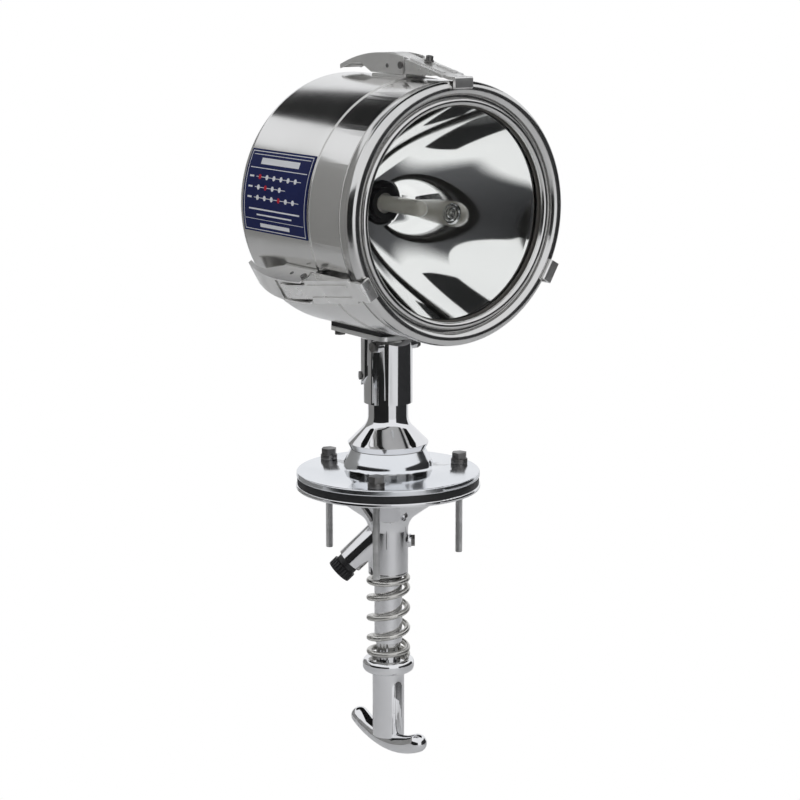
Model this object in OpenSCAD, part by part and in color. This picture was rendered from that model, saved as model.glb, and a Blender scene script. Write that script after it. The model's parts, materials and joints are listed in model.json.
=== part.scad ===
// Marine searchlight for a cabin roof: latched drum head on a post that is turned and tilted from below.
// Millimetres, +Z up, beam along -Y. The origin lies on the mast axis, on the roof under the gasket.

/* [Roof seat] */
// Thickness of the rubber gasket on the roof
gasket_t = 5.5; // [3:0.5:10]
// Diameter of the deck flange
flange_d = 147; // [138:1:170]
// Thickness of the deck flange plate
flange_t = 5; // [4:0.5:8]
// Height of the boss above the deck flange plate
boss_h = 17.9; // [14:0.1:26]
// Diameter of the boss at its foot
boss_d = 71; // [66:1:80]
// Diameter of the boss at its top
boss_top_d = 60; // [56:0.5:62]
// Height of the straight foot of the boss
boss_foot_h = 7; // [4:0.5:10]
// Thickness of the ceiling flange plate
ceiling_t = 3.5; // [2.5:0.5:6]
// Bolt circle of the flange bolts
bolt_pcd = 124; // [110:1:128]
// Number of flange bolts
bolt_count = 3; // [3:1:6]
// Shank diameter of the flange bolts
bolt_d = 6; // [5:1:8]
// Length of the flange bolts below the deck flange plate
bolt_len = 69.5; // [50:0.5:90]
// Direction of the first flange bolt, seen from above
bolt_turn = 106.4; // [0:0.1:120]

/* [Neck and gland] */
// Outer diameter of the neck below the ceiling
neck_d = 32.2; // [31:0.2:36]
// Bore of the neck
neck_bore_d = 28.4; // [26:0.2:28.8]
// Lower end of the neck, below the roof
neck_drop = 73.5; // [70:0.5:90]
// Radius of the fillet between neck and ceiling flange
neck_fillet_r = 16; // [10:1:20]
// Drop of the point where the neck's fillet begins
neck_fillet_drop = 39; // [36:1:44]
// Outer diameter of the cable branch
branch_d = 22; // [20:0.5:24]
// Bore of the cable branch
branch_bore_d = 15; // [13:0.5:16]
// Length of the cable branch from the mast axis
branch_len = 43.8; // [40:0.1:50]
// Drop of the point where the branch meets the mast axis
branch_drop = 34.5; // [32:0.5:40]
// Direction of the cable branch, seen from above
branch_turn = 145; // [125:1:165]
// Diameter of the supply cable that the gland takes
cable_d = 7; // [5:0.5:8]
// Diameter of the gland nut
gland_nut_d = 21; // [19:0.5:23]
// Direction of the friction screw, seen from above
lock_turn = -35; // [-60:1:0]
// Drop of the friction screw below the roof
lock_drop = 48.5; // [46:0.5:54]

/* [Mast] */
// Outer diameter of the mast tube
tube_d = 22.6; // [22:0.1:24]
// Bore of the mast tube
tube_bore_d = 20.1; // [19:0.1:20.3]
// Lower end of the mast tube, below the roof
tube_drop = 132.5; // [128:0.5:136]
// Diameter of the bell's rim
bell_rim_d = 64.8; // [63:0.2:70]
// Height of the bevelled lip under the bell's rim
bell_lip_h = 4.8; // [3:0.2:6]
// Diameter of the bell's neck
bell_neck_d = 32.1; // [31:0.1:33]
// Radius of the flare between bell and neck
bell_flare_r = 12; // [8:1:16]
// Outer diameter of the sleeve
sleeve_d = 38.9; // [38:0.1:42]
// Height of the sleeve's lower end above the bell's rim
sleeve_lift = 32.3; // [30:0.1:36]
// Length of the sleeve
sleeve_len = 52.1; // [51:0.1:60]
// Depth of the sleeve's socket for the bell's neck
sleeve_socket = 26.5; // [22:0.5:27]
// Bore of the sleeve above the socket
sleeve_bore_d = 30.4; // [30:0.1:31]
// Greatest tilt of the head, nose-down
tilt_max = 28; // [10:1:28]

/* [Handle] */
// Length of the shank that slides in the mast tube
shank_len = 86.5; // [60:0.5:100]
// Diameter of the push rod
rod_d = 8; // [6:0.5:10]
// Diameter of the handle's collar
collar_d = 41.8; // [38:0.2:46]
// Height of the handle's collar
collar_h = 11; // [9:0.5:14]
// Top of the handle's collar, below the roof
collar_drop = 146.5; // [144:0.5:152]
// Diameter of the handle's stem
stem_d = 25.8; // [23:0.2:28]
// Drop of the middle of the handle's bar
bar_drop = 218; // [205:1:240]
// Diameter of the handle's bar
bar_d = 15; // [12:0.5:18]
// Length of the handle's bar over its ends
bar_len = 97; // [80:1:120]
// Rise of the bar's ends above its middle
bar_rise = 9.5; // [6:0.5:14]
// Wire diameter of the return spring
wire_d = 4.6; // [3.8:0.1:4.6]
// Outer diameter of the return spring
spring_d = 35.8; // [35.2:0.1:38]
// Open turns of the return spring
spring_turns = 3.35; // [2.5:0.05:4]

/* [Head] */
// Radius of the reflector's mirror at its rim
mirror_r = 86; // [80:0.5:96]
// Width between the mirror's rim and the drum's outside
rim_w = 14; // [13.8:0.1:17]
// Wall of the drum and of the front barrel
drum_wall = 1.5; // [1:0.1:1.8]
// Distance of the drum's rear face behind the mast axis
drum_back = 66; // [60:1:80]
// Distance of the drum's front edge ahead of the mast axis
drum_front = 38; // [36:0.5:42]
// Radius of the drum's rear corner
drum_corner_r = 12.7; // [8:0.1:18]
// Step from the drum down to the front barrel
barrel_step = 0.8; // [0.4:0.1:1.2]
// Distance of the barrel's front edge ahead of the mast axis
barrel_front = 79; // [77:0.5:81]
// Distance of the bezel's roll ahead of the mast axis
bezel_roll_s = 89.8; // [88:0.1:91]
// Radius of the bezel's outer roll
bezel_roll_r = 5.5; // [4.5:0.1:6]
// Width of the mirror's rim that the bezel covers
bezel_cover = 4.5; // [3.5:0.1:5]
// Radius of the bezel's inner lip
bezel_lip_r = 3; // [2.5:0.1:3.5]
// Thickness of the front glass
glass_t = 4; // [3:0.5:5]
// Distance of the glass's rear face ahead of the mast axis
glass_s = 81.5; // [81:0.1:82]
// Focal length of the reflector as a share of its rim's radius
focal_share = 0.2384; // [0.22:0.0002:0.26]

/* [Saddle] */
// Width of the saddle plate
saddle_w = 50; // [48:1:60]
// Length of the saddle plate behind the mast axis
saddle_back = 48; // [47:1:56]
// Length of the saddle plate ahead of the mast axis
saddle_ahead = 28; // [28:1:32]
// Thickness of the saddle plate
saddle_t = 3.5; // [3:0.5:5]
// Gap between the saddle plate and the drum's lowest line
drum_gap = 0.5; // [0.4:0.1:2]
// Gap between the sleeve and the saddle plate
saddle_gap = 2.2; // [1.8:0.1:4]
// Sideways place of the saddle bolts
saddle_bolt_x = 19; // [18:0.5:20]
// Diameter of the saddle bolts
saddle_bolt_d = 5; // [4:0.5:5]

/* [Latches] */
// Width of a latch over its lever
latch_w = 20.4; // [20:0.2:24]
// Width of a claw strap
claw_w = 21; // [20:0.5:24]
// Sheet thickness of the latches
latch_t = 1.4; // [1:0.1:1.5]
// Height of the lever's arch above the drum
latch_h = 17.7; // [16:0.1:20]
// Thickness of a claw strap
claw_t = 2.4; // [1.8:0.1:3]
// Diameter of the latch pins
latch_pin_d = 3.2; // [2.4:0.2:4]

/* [Hidden] */
$fn = 96;

// clearances: pieces that are fixed to each other, run on each other, or pass freely
fix_gap = 0.02;
run_gap = 0.05;
free_gap = 0.3;
hole_gap = 0.3;
tiny = 0.01;

// heights of the stack on the roof
flange_top = gasket_t + flange_t;
boss_top = flange_top + boss_h;
thrust_t = 0.5;
bell_z = boss_top + thrust_t;
rim_z = bell_z + bell_lip_h;
sleeve_z = rim_z + sleeve_lift;
sleeve_top = sleeve_z + sleeve_len;
socket_top = sleeve_z + sleeve_socket;
plate_z = sleeve_top + saddle_gap;
plate_top = plate_z + saddle_t;
drum_r = mirror_r + rim_w;
beam_z = plate_top + drum_gap + drum_r;

// radii
tube_r = tube_d / 2;
tube_bore_r = tube_bore_d / 2;
neck_r = neck_d / 2;
neck_bore_r = neck_bore_d / 2;
bell_neck_r = bell_neck_d / 2;
sleeve_r = sleeve_d / 2;
sleeve_bore_r = sleeve_bore_d / 2;
edge_r = 1.2;

// hex sizes as across-corners radius over shank radius
hex_ratio = 1.85;

// flange bolts
bolt_head_h = 5;
bolt_head_r = bolt_d / 2 * 2.1;
washer_t = 4;
washer_r = bolt_d / 2 * 2.25;
shank_cut = 0.35;
thread_top = -ceiling_t - 0.6;

// bushes
bush_wall = 3.7;
upper_bush_r = tube_r + bush_wall;
upper_bush_z = gasket_t + 6.5;
bush_flange_t = 2;
lower_bush_len = 12.5;
bush_flange_z = -neck_drop - bush_flange_t;
ring_t = 1.2;
ring_groove = 0.4;
ring_reach = 1.6;

// ceiling flange: a cone from the plate runs into the neck's fillet
ceiling_edge = 0.5;
cone_deg = 36;

// cable gland along the branch
gland_turns = 7.5;
gland_collar_r = 9;
gland_collar_len = 5.7;
gland_nut_len = 7.1;
gland_bore_r = cable_d / 2 + 2;
gland_mouth_r = cable_d / 2 + 0.7;
knurl_count = 24;
knurl_r = 0.7;

// friction screw
lock_boss_r = 5.5;
lock_boss_reach = 2.4;
lock_head_h = 3;
lock_r = 3;

// tilt hinge and the drive of the push rod
hinge_y = -9.5;
hinge_below = 4.8;
hinge_z = sleeve_top - hinge_below;
hinge_r = 2.5;
hinge_boss_r = 4.6;
hinge_boss_x = sleeve_r - 0.5;
hinge_head_h = 3.5;
knuckle_r = 4.5;
knuckle_w = 8;
drive_y = 9.5;
drive_below = 3.5;
drive_z = hinge_z - drive_below;
drive_r = 2;
slot_slide = 0.9;
slot_back = 0.6;
slot_play = 0.5;
lug_w = 7;
lug_r = 3.8;
clevis_w = 14;
clevis_r = 3.6;
rod_head_t = 4;
rod_head_z = socket_top + 1;
rod_head_r = sleeve_bore_r - 0.5;
rod_head_front = -4.5;
bevel_y = -11;

// sleeve rib with its screw
rib_turn = 155;
rib_r = 10;
rib_proud = 2.4;
rib_reach = sleeve_r + rib_proud;
rib_point_z = sleeve_z + 14.5;
rib_point_h = 11.5;
screw_z = sleeve_z + 22;
screw_r = 2;
screw_head_r = 3.4;
screw_head_h = 1.6;

// handle
shank_r = tube_bore_r - run_gap;
rod_r = rod_d / 2;
collar_round = 4;
bar_r = bar_d / 2;
stem_sink = bar_r - 2;
bar_half = bar_len / 2 - bar_r;
bar_arc_r = (bar_half * bar_half + bar_rise * bar_rise) / (2 * bar_rise);
bar_arc_deg = asin(bar_half / bar_arc_r);

// return spring between the lower bush and the handle's collar
spring_mean_r = (spring_d - wire_d) / 2;
spring_top = bush_flange_z - free_gap;
spring_low = -collar_drop + free_gap;
spring_sides = 12;
spring_steps = 26;
spring_phase = 145;
spring_phase_drop = 96.1;

// drum, barrel and bezel
barrel_r = drum_r - barrel_step;
barrel_lap = 8;
lap_r = drum_r - drum_wall - free_gap / 3;
seam_gap = 0.2;
band_t = 1.8;
band_r = barrel_r - 0.2;
spigot_r = barrel_r - drum_wall - free_gap;
spigot_t = 1.6;
spigot_back = 7;
bezel_roll_c = drum_r - bezel_roll_r;
bezel_open_r = mirror_r - bezel_cover;
bezel_lip_c = bezel_open_r + bezel_lip_r;
gasket_lip_t = 1.5;
gasket_out_r = mirror_r + 3;
glass_r = mirror_r + 0.5;
gasket_in_r = bezel_open_r - 1;
web_s = glass_s + glass_t + gasket_lip_t;
web_t = 3;

// reflector
mirror_hole_r = 16;
mirror_sink = 1.8;
mirror_rim_s = glass_s - gasket_lip_t - mirror_sink;
focal_len = focal_share * mirror_r;
vertex_back = mirror_r * mirror_r / (4 * focal_len) - mirror_rim_s;
mirror_skin = 1.8;
mirror_steps = 28;
rim_flange_t = 1.6;
rim_flange_r = spigot_r - spigot_t - free_gap;

// lamp
holder_r = 13;
holder_flange_r = 20;
holder_flange_t = 3.2;
holder_len = 26;
holder_snout_r = 12;
cap_r = 8;
cap_len = 5;
bulb_r = 6.5;
bulb_wall = 0.8;
lamp_gap = 34;
lead_r = 0.5;
lead_y = 2.5;
coil_r = 1.4;
coil_len = 7;

// saddle details
saddle_corner_r = 6;
pad_x = 18;
pad_w = 12;
pad_inset = 3;
pad_h = 6;
pad_gap = 0.2;
bolt_y = [40, -18];
saddle_head_h = 3.5;
nut_h = 4;
nut_gap = 1.2;
cable_y = 24;
cable_hole_r = 6;
terminal = [24, 11, 12];

// latches, as places along the beam (s) and heights above the drum (h)
latch_names = ["top", "right", "left"];
latch_turns = [90, 330, 210];
pivot_s = 32;
pivot_h = 9;
claw_pin_s = 14;
claw_pin_h = 8;
ear_r = 4;
ear_in = latch_w / 2 - 2 * latch_t - 0.4;
base_t = 1.5;
base_back = 8;
base_ahead = 37;
lever_tip_s = -51;
lever_arc_r = 165;
lever_arc_s = 9;
skirt_h = 2.3;
claw_h = latch_h + 0.2;
claw_neck_w = 2 * (ear_in - 0.5);
claw_heel = 7;
web_front_s = claw_pin_s - claw_heel - 6;
claw_hump_s = 18;
claw_wide_s = pivot_s + 5.2;
claw_end_w = 16.5;
claw_taper_s = 84;
hook_gap = 0.6;
hook_t = 3;
hook_s = bezel_roll_s + bezel_roll_r + hook_gap;
hook_drop = bezel_roll_r + 0.5;
claw_end_h = hook_gap + claw_t;
claw_fall = (claw_h - claw_end_h) / (bezel_roll_s - claw_hump_s);
flange_low = 2.6;
flange_inset = 0.3;
flange_end_s = 70;
rib_w = 2.4;
rib_h = 0.8;
rib_off = 5.5;

// a hexagon prism, given its across-corners radius
module hex(r, h) {
    cylinder(r = r, h = h, $fn = 6);
}

// a ring between two radii
module ring(r_out, r_in, h) {
    difference() {
        cylinder(r = r_out, h = h);
        translate([0, 0, -1])
            cylinder(r = r_in, h = h + 2);
    }
}

// a bar of the profile (r, z) rectangle, for revolving
module band(r_in, r_out, low, high) {
    translate([r_in, low])
        square([r_out - r_in, high - low]);
}

// a rectangle from (x0, y0) to (x1, y1) with round corners
module round_plan(x0, y0, x1, y1, r) {
    translate([x0 + r, y0])
        square([x1 - x0 - 2 * r, y1 - y0]);
    translate([x0, y0 + r])
        square([x1 - x0, y1 - y0 - 2 * r]);
    for (x = [x0 + r, x1 - r], y = [y0 + r, y1 - r])
        translate([x, y])
            circle(r = r);
}

// places at the flange bolts
module at_bolts() {
    for (k = [0 : bolt_count - 1])
        rotate([0, 0, bolt_turn + k * 360 / bolt_count])
            translate([bolt_pcd / 2, 0, 0])
                children();
}

// a frame along the cable branch: z runs out of the neck
module along_branch() {
    translate([0, 0, -branch_drop])
        rotate([0, 0, branch_turn])
            rotate([0, 135, 0])
                children();
}

// a frame along the friction screw: z runs out of the neck
module along_lock() {
    translate([0, 0, -lock_drop])
        rotate([0, 0, lock_turn])
            rotate([0, 90, 0])
                children();
}

// a frame on the beam: z runs forward along the beam, y is up
module on_beam() {
    translate([0, 0, beam_z])
        rotate([90, 0, 0])
            children();
}

// places of the saddle bolts
module at_saddle_bolts() {
    for (x = [-saddle_bolt_x, saddle_bolt_x], y = bolt_y)
        translate([x, y, 0])
            children();
}

// the holes that the saddle bolts take through plate, pads and drum
module saddle_bolt_holes() {
    at_saddle_bolts()
        translate([0, 0, plate_z - 1])
            cylinder(r = saddle_bolt_d / 2 + hole_gap, h = 40);
}

// a cylinder on the beam axis that reaches past the drum at both ends
module beam_cylinder(r) {
    translate([0, drum_back + 10, beam_z])
        rotate([90, 0, 0])
            cylinder(r = r, h = drum_back + barrel_front + 40);
}

// a frame on the drum at a latch: x runs forward (s), y outward from the drum (h), z along the rim
module at_latch(turn) {
    on_beam()
        rotate([0, 0, turn])
            translate([drum_r, 0, 0])
                rotate([-90, 0, 0])
                    rotate([0, 0, -90])
                        children();
}

// the drum's surface in a latch's frame
module latch_drum() {
    translate([-200, -drum_r, 0])
        rotate([0, 90, 0])
            cylinder(r = drum_r, h = 400, $fn = 720);
}

module deck_flange() {
    color("gainsboro") difference() {
        rotate_extrude() {
            band(upper_bush_r - 2, flange_d / 2 - edge_r, gasket_t, flange_top);
            band(upper_bush_r - 2, flange_d / 2, gasket_t + edge_r, flange_top - edge_r);
            for (z = [gasket_t + edge_r, flange_top - edge_r])
                translate([flange_d / 2 - edge_r, z])
                    circle(r = edge_r);
            polygon([[upper_bush_r - 2, flange_top - tiny], [boss_d / 2, flange_top - tiny],
                [boss_d / 2, flange_top + boss_foot_h], [boss_top_d / 2, boss_top],
                [upper_bush_r - 2, boss_top]]);
        }
        translate([0, 0, upper_bush_z])
            cylinder(r = upper_bush_r + fix_gap, h = boss_top);
        at_bolts()
            translate([0, 0, gasket_t - 1])
                cylinder(r = bolt_d / 2 + hole_gap, h = flange_t + 2);
    }
}

module roof_gasket() {
    color("dimgray") difference() {
        ring(flange_d / 2 - 0.5, neck_bore_r + 10, gasket_t);
        at_bolts()
            translate([0, 0, -1])
                cylinder(r = bolt_d / 2 + hole_gap, h = gasket_t + 2);
    }
}

// the fillet's centre and the point where it runs into the cone
ceil_c = [neck_r + neck_fillet_r, -neck_fillet_drop];
ceil_t = ceil_c + neck_fillet_r * [-sin(cone_deg), cos(cone_deg)];
ceil_reach = ceil_t[0] + (-ceiling_t - ceil_t[1]) / tan(cone_deg);

module ceiling_flange() {
    color("silver") difference() {
        union() {
            rotate_extrude() {
                band(neck_bore_r, flange_d / 2 + ceiling_edge - edge_r, -ceiling_t, 0);
                band(neck_bore_r, flange_d / 2 + ceiling_edge, -ceiling_t + edge_r, -edge_r);
                for (z = [-ceiling_t + edge_r, -edge_r])
                    translate([flange_d / 2 + ceiling_edge - edge_r, z])
                        circle(r = edge_r);
                band(neck_bore_r, neck_r, -neck_drop, -neck_fillet_drop);
                difference() {
                    polygon([[neck_bore_r, -neck_fillet_drop - tiny], [neck_r, -neck_fillet_drop - tiny],
                        [neck_r, -neck_fillet_drop], ceil_c, ceil_t, [ceil_reach, -ceiling_t],
                        [neck_bore_r, -ceiling_t]]);
                    translate(ceil_c)
                        circle(r = neck_fillet_r);
                }
            }
            difference() {
                along_branch()
                    cylinder(r = branch_d / 2, h = branch_len);
                translate([0, 0, -neck_drop - 40])
                    cylinder(r = neck_bore_r, h = neck_drop + 60);
            }
            along_lock()
                translate([0, 0, neck_r - 2])
                    cylinder(r = lock_boss_r, h = lock_boss_reach + 2);
        }
        along_branch()
            cylinder(r = branch_bore_d / 2, h = branch_len + 1);
        along_lock()
            translate([0, 0, 1])
                cylinder(r = lock_r + fix_gap, h = neck_r + lock_boss_reach + 5);
        at_bolts()
            translate([0, 0, -ceiling_t - 6])
                cylinder(r = bolt_d / 2 + hole_gap, h = ceiling_t + 8);
    }
}

module flange_bolts() {
    color("dimgray") at_bolts() {
        translate([0, 0, flange_top + washer_t])
            hex(bolt_head_r, bolt_head_h);
        translate([0, 0, thread_top])
            cylinder(r = bolt_d / 2 - shank_cut, h = flange_top + washer_t - thread_top + tiny);
        translate([0, 0, gasket_t - bolt_len])
            cylinder(r = bolt_d / 2, h = thread_top - gasket_t + bolt_len + tiny);
    }
}

module bolt_washers() {
    color("gray") at_bolts()
        translate([0, 0, flange_top])
            ring(washer_r, bolt_d / 2 + fix_gap, washer_t);
}

module upper_bush() {
    color("peru") translate([0, 0, upper_bush_z])
        ring(upper_bush_r, tube_r + run_gap, boss_top - upper_bush_z);
}

module lower_bush() {
    color("peru") {
        translate([0, 0, -neck_drop])
            ring(neck_bore_r - fix_gap, tube_r + run_gap, lower_bush_len);
        translate([0, 0, bush_flange_z])
            ring(neck_r, tube_r + run_gap, bush_flange_t);
    }
}

module thrust_washer() {
    color("ivory") translate([0, 0, boss_top])
        ring(boss_top_d / 2 - 1, tube_r + 1, thrust_t);
}

module gland_body() {
    color("black") along_branch() difference() {
        union() {
            translate([0, 0, branch_len - gland_turns])
                cylinder(r = branch_bore_d / 2 - fix_gap, h = gland_turns + tiny);
            translate([0, 0, branch_len])
                cylinder(r = gland_collar_r, h = gland_collar_len);
        }
        translate([0, 0, branch_len - gland_turns - 1])
            cylinder(r = gland_bore_r, h = gland_turns + gland_collar_len + 2);
    }
}

module gland_nut() {
    color("black") along_branch() translate([0, 0, branch_len + gland_collar_len]) difference() {
        cylinder(r = gland_nut_d / 2, h = gland_nut_len);
        translate([0, 0, -1])
            cylinder(r = gland_mouth_r, h = gland_nut_len + 2);
        for (k = [0 : knurl_count - 1])
            rotate([0, 0, k * 360 / knurl_count])
                translate([gland_nut_d / 2 + knurl_r / 3, 0, -1])
                    cylinder(r = knurl_r, h = gland_nut_len);
    }
}

module gland_seal() {
    color("dimgray") along_branch() translate([0, 0, branch_len - gland_turns / 2])
        ring(gland_bore_r - fix_gap, cable_d / 2, gland_collar_len + gland_turns / 2);
}

module friction_screw() {
    color("gray") along_lock() {
        translate([0, 0, tube_r + free_gap])
            cylinder(r = lock_r, h = neck_r + lock_boss_reach - tube_r - free_gap + tiny);
        translate([0, 0, neck_r + lock_boss_reach])
            hex(lock_r * hex_ratio * 0.85, lock_head_h);
    }
}

// the flare's centre and the point where it runs into the bell's 45 degree cone
flare_z = bell_rim_d / 2 + rim_z - bell_neck_r + bell_flare_r * (sqrt(2) - 1);
flare_c = [bell_neck_r + bell_flare_r, flare_z];
flare_t = flare_c - bell_flare_r * [cos(45), sin(45)];

module bell() {
    color("gainsboro") difference() {
        rotate_extrude() difference() {
            polygon([[tube_r + fix_gap, bell_z], [boss_top_d / 2 + 0.3, bell_z], [bell_rim_d / 2, rim_z],
                flare_t, flare_c, [bell_neck_r, flare_z], [bell_neck_r, socket_top],
                [tube_r + fix_gap, socket_top]]);
            translate(flare_c)
                circle(r = bell_flare_r);
        }
        sleeve_screw_hole();
    }
}

// the radial hole that the sleeve screw takes through sleeve, bell and tube
module sleeve_screw_hole() {
    translate([0, 0, screw_z])
        rotate([0, 0, rib_turn])
            rotate([0, 90, 0])
                translate([0, 0, rod_r + 2])
                    cylinder(r = screw_r + fix_gap, h = sleeve_r + 10);
}

module mast_tube() {
    color("silver") difference() {
        translate([0, 0, -tube_drop])
            ring(tube_r, tube_bore_r, tube_drop + socket_top - 0.5);
        translate([0, 0, bush_flange_z - free_gap - ring_t])
            ring(tube_r + 1, tube_r - ring_groove, ring_t);
        translate([0, 0, -branch_drop])
            rotate([0, 0, branch_turn])
                round_slot();
        sleeve_screw_hole();
    }
}

// the window in the mast tube where the cable goes in
module round_slot() {
    rotate([90, 0, 90])
        linear_extrude(tube_r + 2)
            round_plan(-5, -16, 5, 10, 4.9);
}

module retaining_ring() {
    color("dimgray") translate([0, 0, bush_flange_z - free_gap - ring_t + tiny])
        difference() {
            ring(tube_r + ring_reach, tube_r - ring_groove + fix_gap, ring_t - 2 * tiny);
            translate([tube_r / 2, -2, -1])
                cube([tube_r, 4, ring_t + 2]);
        }
}

module sleeve() {
    over = 2;
    color("silver") difference() {
        union() {
            translate([0, 0, sleeve_z])
                cylinder(r = sleeve_r, h = sleeve_len + over);
            intersection() {
                rotate([0, 0, rib_turn])
                    translate([rib_reach - rib_r, 0, sleeve_z])
                        rotate([0, 0, 180])
                            cylinder(r = rib_r, h = sleeve_len + 2 * over);
                rotate([0, 0, rib_turn])
                    rotate([90, 0, 90])
                        linear_extrude(rib_reach + 5)
                            polygon([[-rib_r - 1, rib_point_z + rib_point_h], [0, rib_point_z],
                                [rib_r + 1, rib_point_z + rib_point_h], [rib_r + 1, sleeve_top + over / 2],
                                [-rib_r - 1, sleeve_top + over / 2]]);
            }
            translate([-hinge_boss_x, hinge_y, hinge_z])
                rotate([0, 90, 0])
                    cylinder(r = hinge_boss_r, h = 2 * hinge_boss_x);
        }
        translate([-sleeve_d, -sleeve_d, sleeve_top])
            cube([2 * sleeve_d, 2 * sleeve_d, 3 * over]);
        translate([0, 0, sleeve_z - 1])
            cylinder(r = bell_neck_r + fix_gap, h = sleeve_socket + 1);
        translate([0, 0, sleeve_z])
            cylinder(r = sleeve_bore_r, h = sleeve_len + 5);
        // sloping front edge that the nodding saddle needs
        translate([-sleeve_r - 5, bevel_y, sleeve_top])
            rotate([tilt_max, 0, 0])
                translate([0, -40, 0])
                    cube([2 * sleeve_r + 10, 40, 30]);
        translate([-sleeve_r - 5, hinge_y, hinge_z])
            rotate([0, 90, 0])
                cylinder(r = hinge_r + fix_gap, h = 2 * sleeve_r + 10);
        sleeve_screw_hole();
    }
}

module sleeve_screw() {
    color("gray") translate([0, 0, screw_z])
        rotate([0, 0, rib_turn])
            rotate([0, 90, 0]) {
                translate([0, 0, tube_bore_r + 0.3])
                    cylinder(r = screw_r, h = rib_reach - tube_bore_r - 0.3 + tiny);
                translate([0, 0, rib_reach])
                    cylinder(r = screw_head_r, h = screw_head_h);
            }
}

module tilt_pin() {
    color("dimgray") translate([0, hinge_y, hinge_z])
        rotate([0, 90, 0]) {
            translate([0, 0, -hinge_boss_x])
                cylinder(r = hinge_r, h = 2 * hinge_boss_x + tiny);
            translate([0, 0, -hinge_boss_x - hinge_head_h])
                hex(hinge_r * hex_ratio, hinge_head_h + tiny);
            translate([0, 0, hinge_boss_x])
                hex(hinge_r * hex_ratio, hinge_head_h);
        }
}

// the spring's wire: close end turns, open turns between
spring_pitch = (spring_top - spring_low - wire_d - 2 * wire_d) / spring_turns;
spring_total = spring_turns + 2;
spring_rings = ceil(spring_total * spring_steps);

function spring_drop(t) = t < 1 ? t * wire_d
    : t > spring_turns + 1 ? wire_d + spring_turns * spring_pitch + (t - spring_turns - 1) * wire_d
    : wire_d + (t - 1) * spring_pitch;
function spring_slope(t) = (t < 1 || t > spring_turns + 1 ? wire_d : spring_pitch) / (2 * PI * spring_mean_r);
function spring_turn(t) = spring_phase - 360 * t
    + 360 * (1 + (spring_phase_drop + spring_top - wire_d / 2 - wire_d) / spring_pitch);
function spring_point(t, a) = let (turn = spring_turn(t), lean = atan(spring_slope(t)),
        out = spring_mean_r + wire_d / 2 * cos(a), side = wire_d / 2 * sin(a))
    [out * cos(turn) + side * sin(lean) * sin(turn), out * sin(turn) - side * sin(lean) * cos(turn),
     spring_top - wire_d / 2 - spring_drop(t) + side * cos(lean)];

module return_spring() {
    points = [for (i = [0 : spring_rings], k = [0 : spring_sides - 1])
        spring_point(i * spring_total / spring_rings, k * 360 / spring_sides)];
    sides = [for (i = [0 : spring_rings - 1], k = [0 : spring_sides - 1])
        let (n = (k + 1) % spring_sides, a = i * spring_sides, b = a + spring_sides)
        [a + k, a + n, b + n, b + k]];
    first = [for (k = [spring_sides - 1 : -1 : 0]) k];
    last = [for (k = [0 : spring_sides - 1]) spring_rings * spring_sides + k];
    color("lightgray") polyhedron(points, concat([first], sides, [last]), convexity = 10);
}

module t_handle() {
    color("silver") {
        rotate_extrude() {
            band(0, collar_d / 2 - collar_round, -collar_drop - collar_h, -collar_drop);
            band(0, collar_d / 2, -collar_drop - collar_h + collar_round, -collar_drop - collar_round);
            for (z = [-collar_drop - collar_h + collar_round, -collar_drop - collar_round])
                translate([collar_d / 2 - collar_round, z])
                    circle(r = collar_round);
            band(0, stem_d / 2, stem_sink - bar_drop, -collar_drop - collar_h / 2);
        }
        translate([0, 0, bar_arc_r - bar_drop])
            rotate([0, 90, 0]) {
                rotate([0, 0, -bar_arc_deg])
                    rotate_extrude(angle = 2 * bar_arc_deg)
                        translate([bar_arc_r, 0])
                            circle(r = bar_r);
                for (side = [-1, 1])
                    rotate([0, 0, side * bar_arc_deg])
                        translate([bar_arc_r, 0, 0])
                            rotate([-90 * side, 0, 0])
                                rotate_extrude() intersection() {
                                    circle(r = bar_r);
                                    square(bar_r);
                                }
            }
    }
}

module push_rod() {
    color("gray") difference() {
        union() {
            translate([0, 0, -collar_drop])
                cylinder(r = shank_r, h = shank_len);
            translate([0, 0, -collar_drop])
                cylinder(r = rod_r, h = collar_drop + rod_head_z + tiny);
            intersection() {
                translate([0, 0, rod_head_z])
                    cylinder(r = rod_head_r, h = rod_head_t);
                translate([-sleeve_r, rod_head_front, rod_head_z])
                    cube([2 * sleeve_r, 2 * sleeve_r, rod_head_t]);
            }
            translate([-clevis_w / 2, drive_y, drive_z])
                rotate([0, 90, 0])
                    cylinder(r = clevis_r, h = clevis_w);
            translate([-clevis_w / 2, drive_y - clevis_r, rod_head_z])
                cube([clevis_w, 2 * clevis_r, drive_z - rod_head_z]);
        }
        translate([-lug_w / 2 - 2 * free_gap, drive_y - 10, rod_head_z + rod_head_t])
            cube([lug_w + 4 * free_gap, 20, 30]);
        translate([-clevis_w, drive_y, drive_z])
            rotate([0, 90, 0])
                cylinder(r = drive_r + fix_gap, h = 2 * clevis_w);
    }
}

module drive_pin() {
    color("dimgray") translate([-clevis_w / 2, drive_y, drive_z])
        rotate([0, 90, 0])
            cylinder(r = drive_r, h = clevis_w);
}

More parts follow.
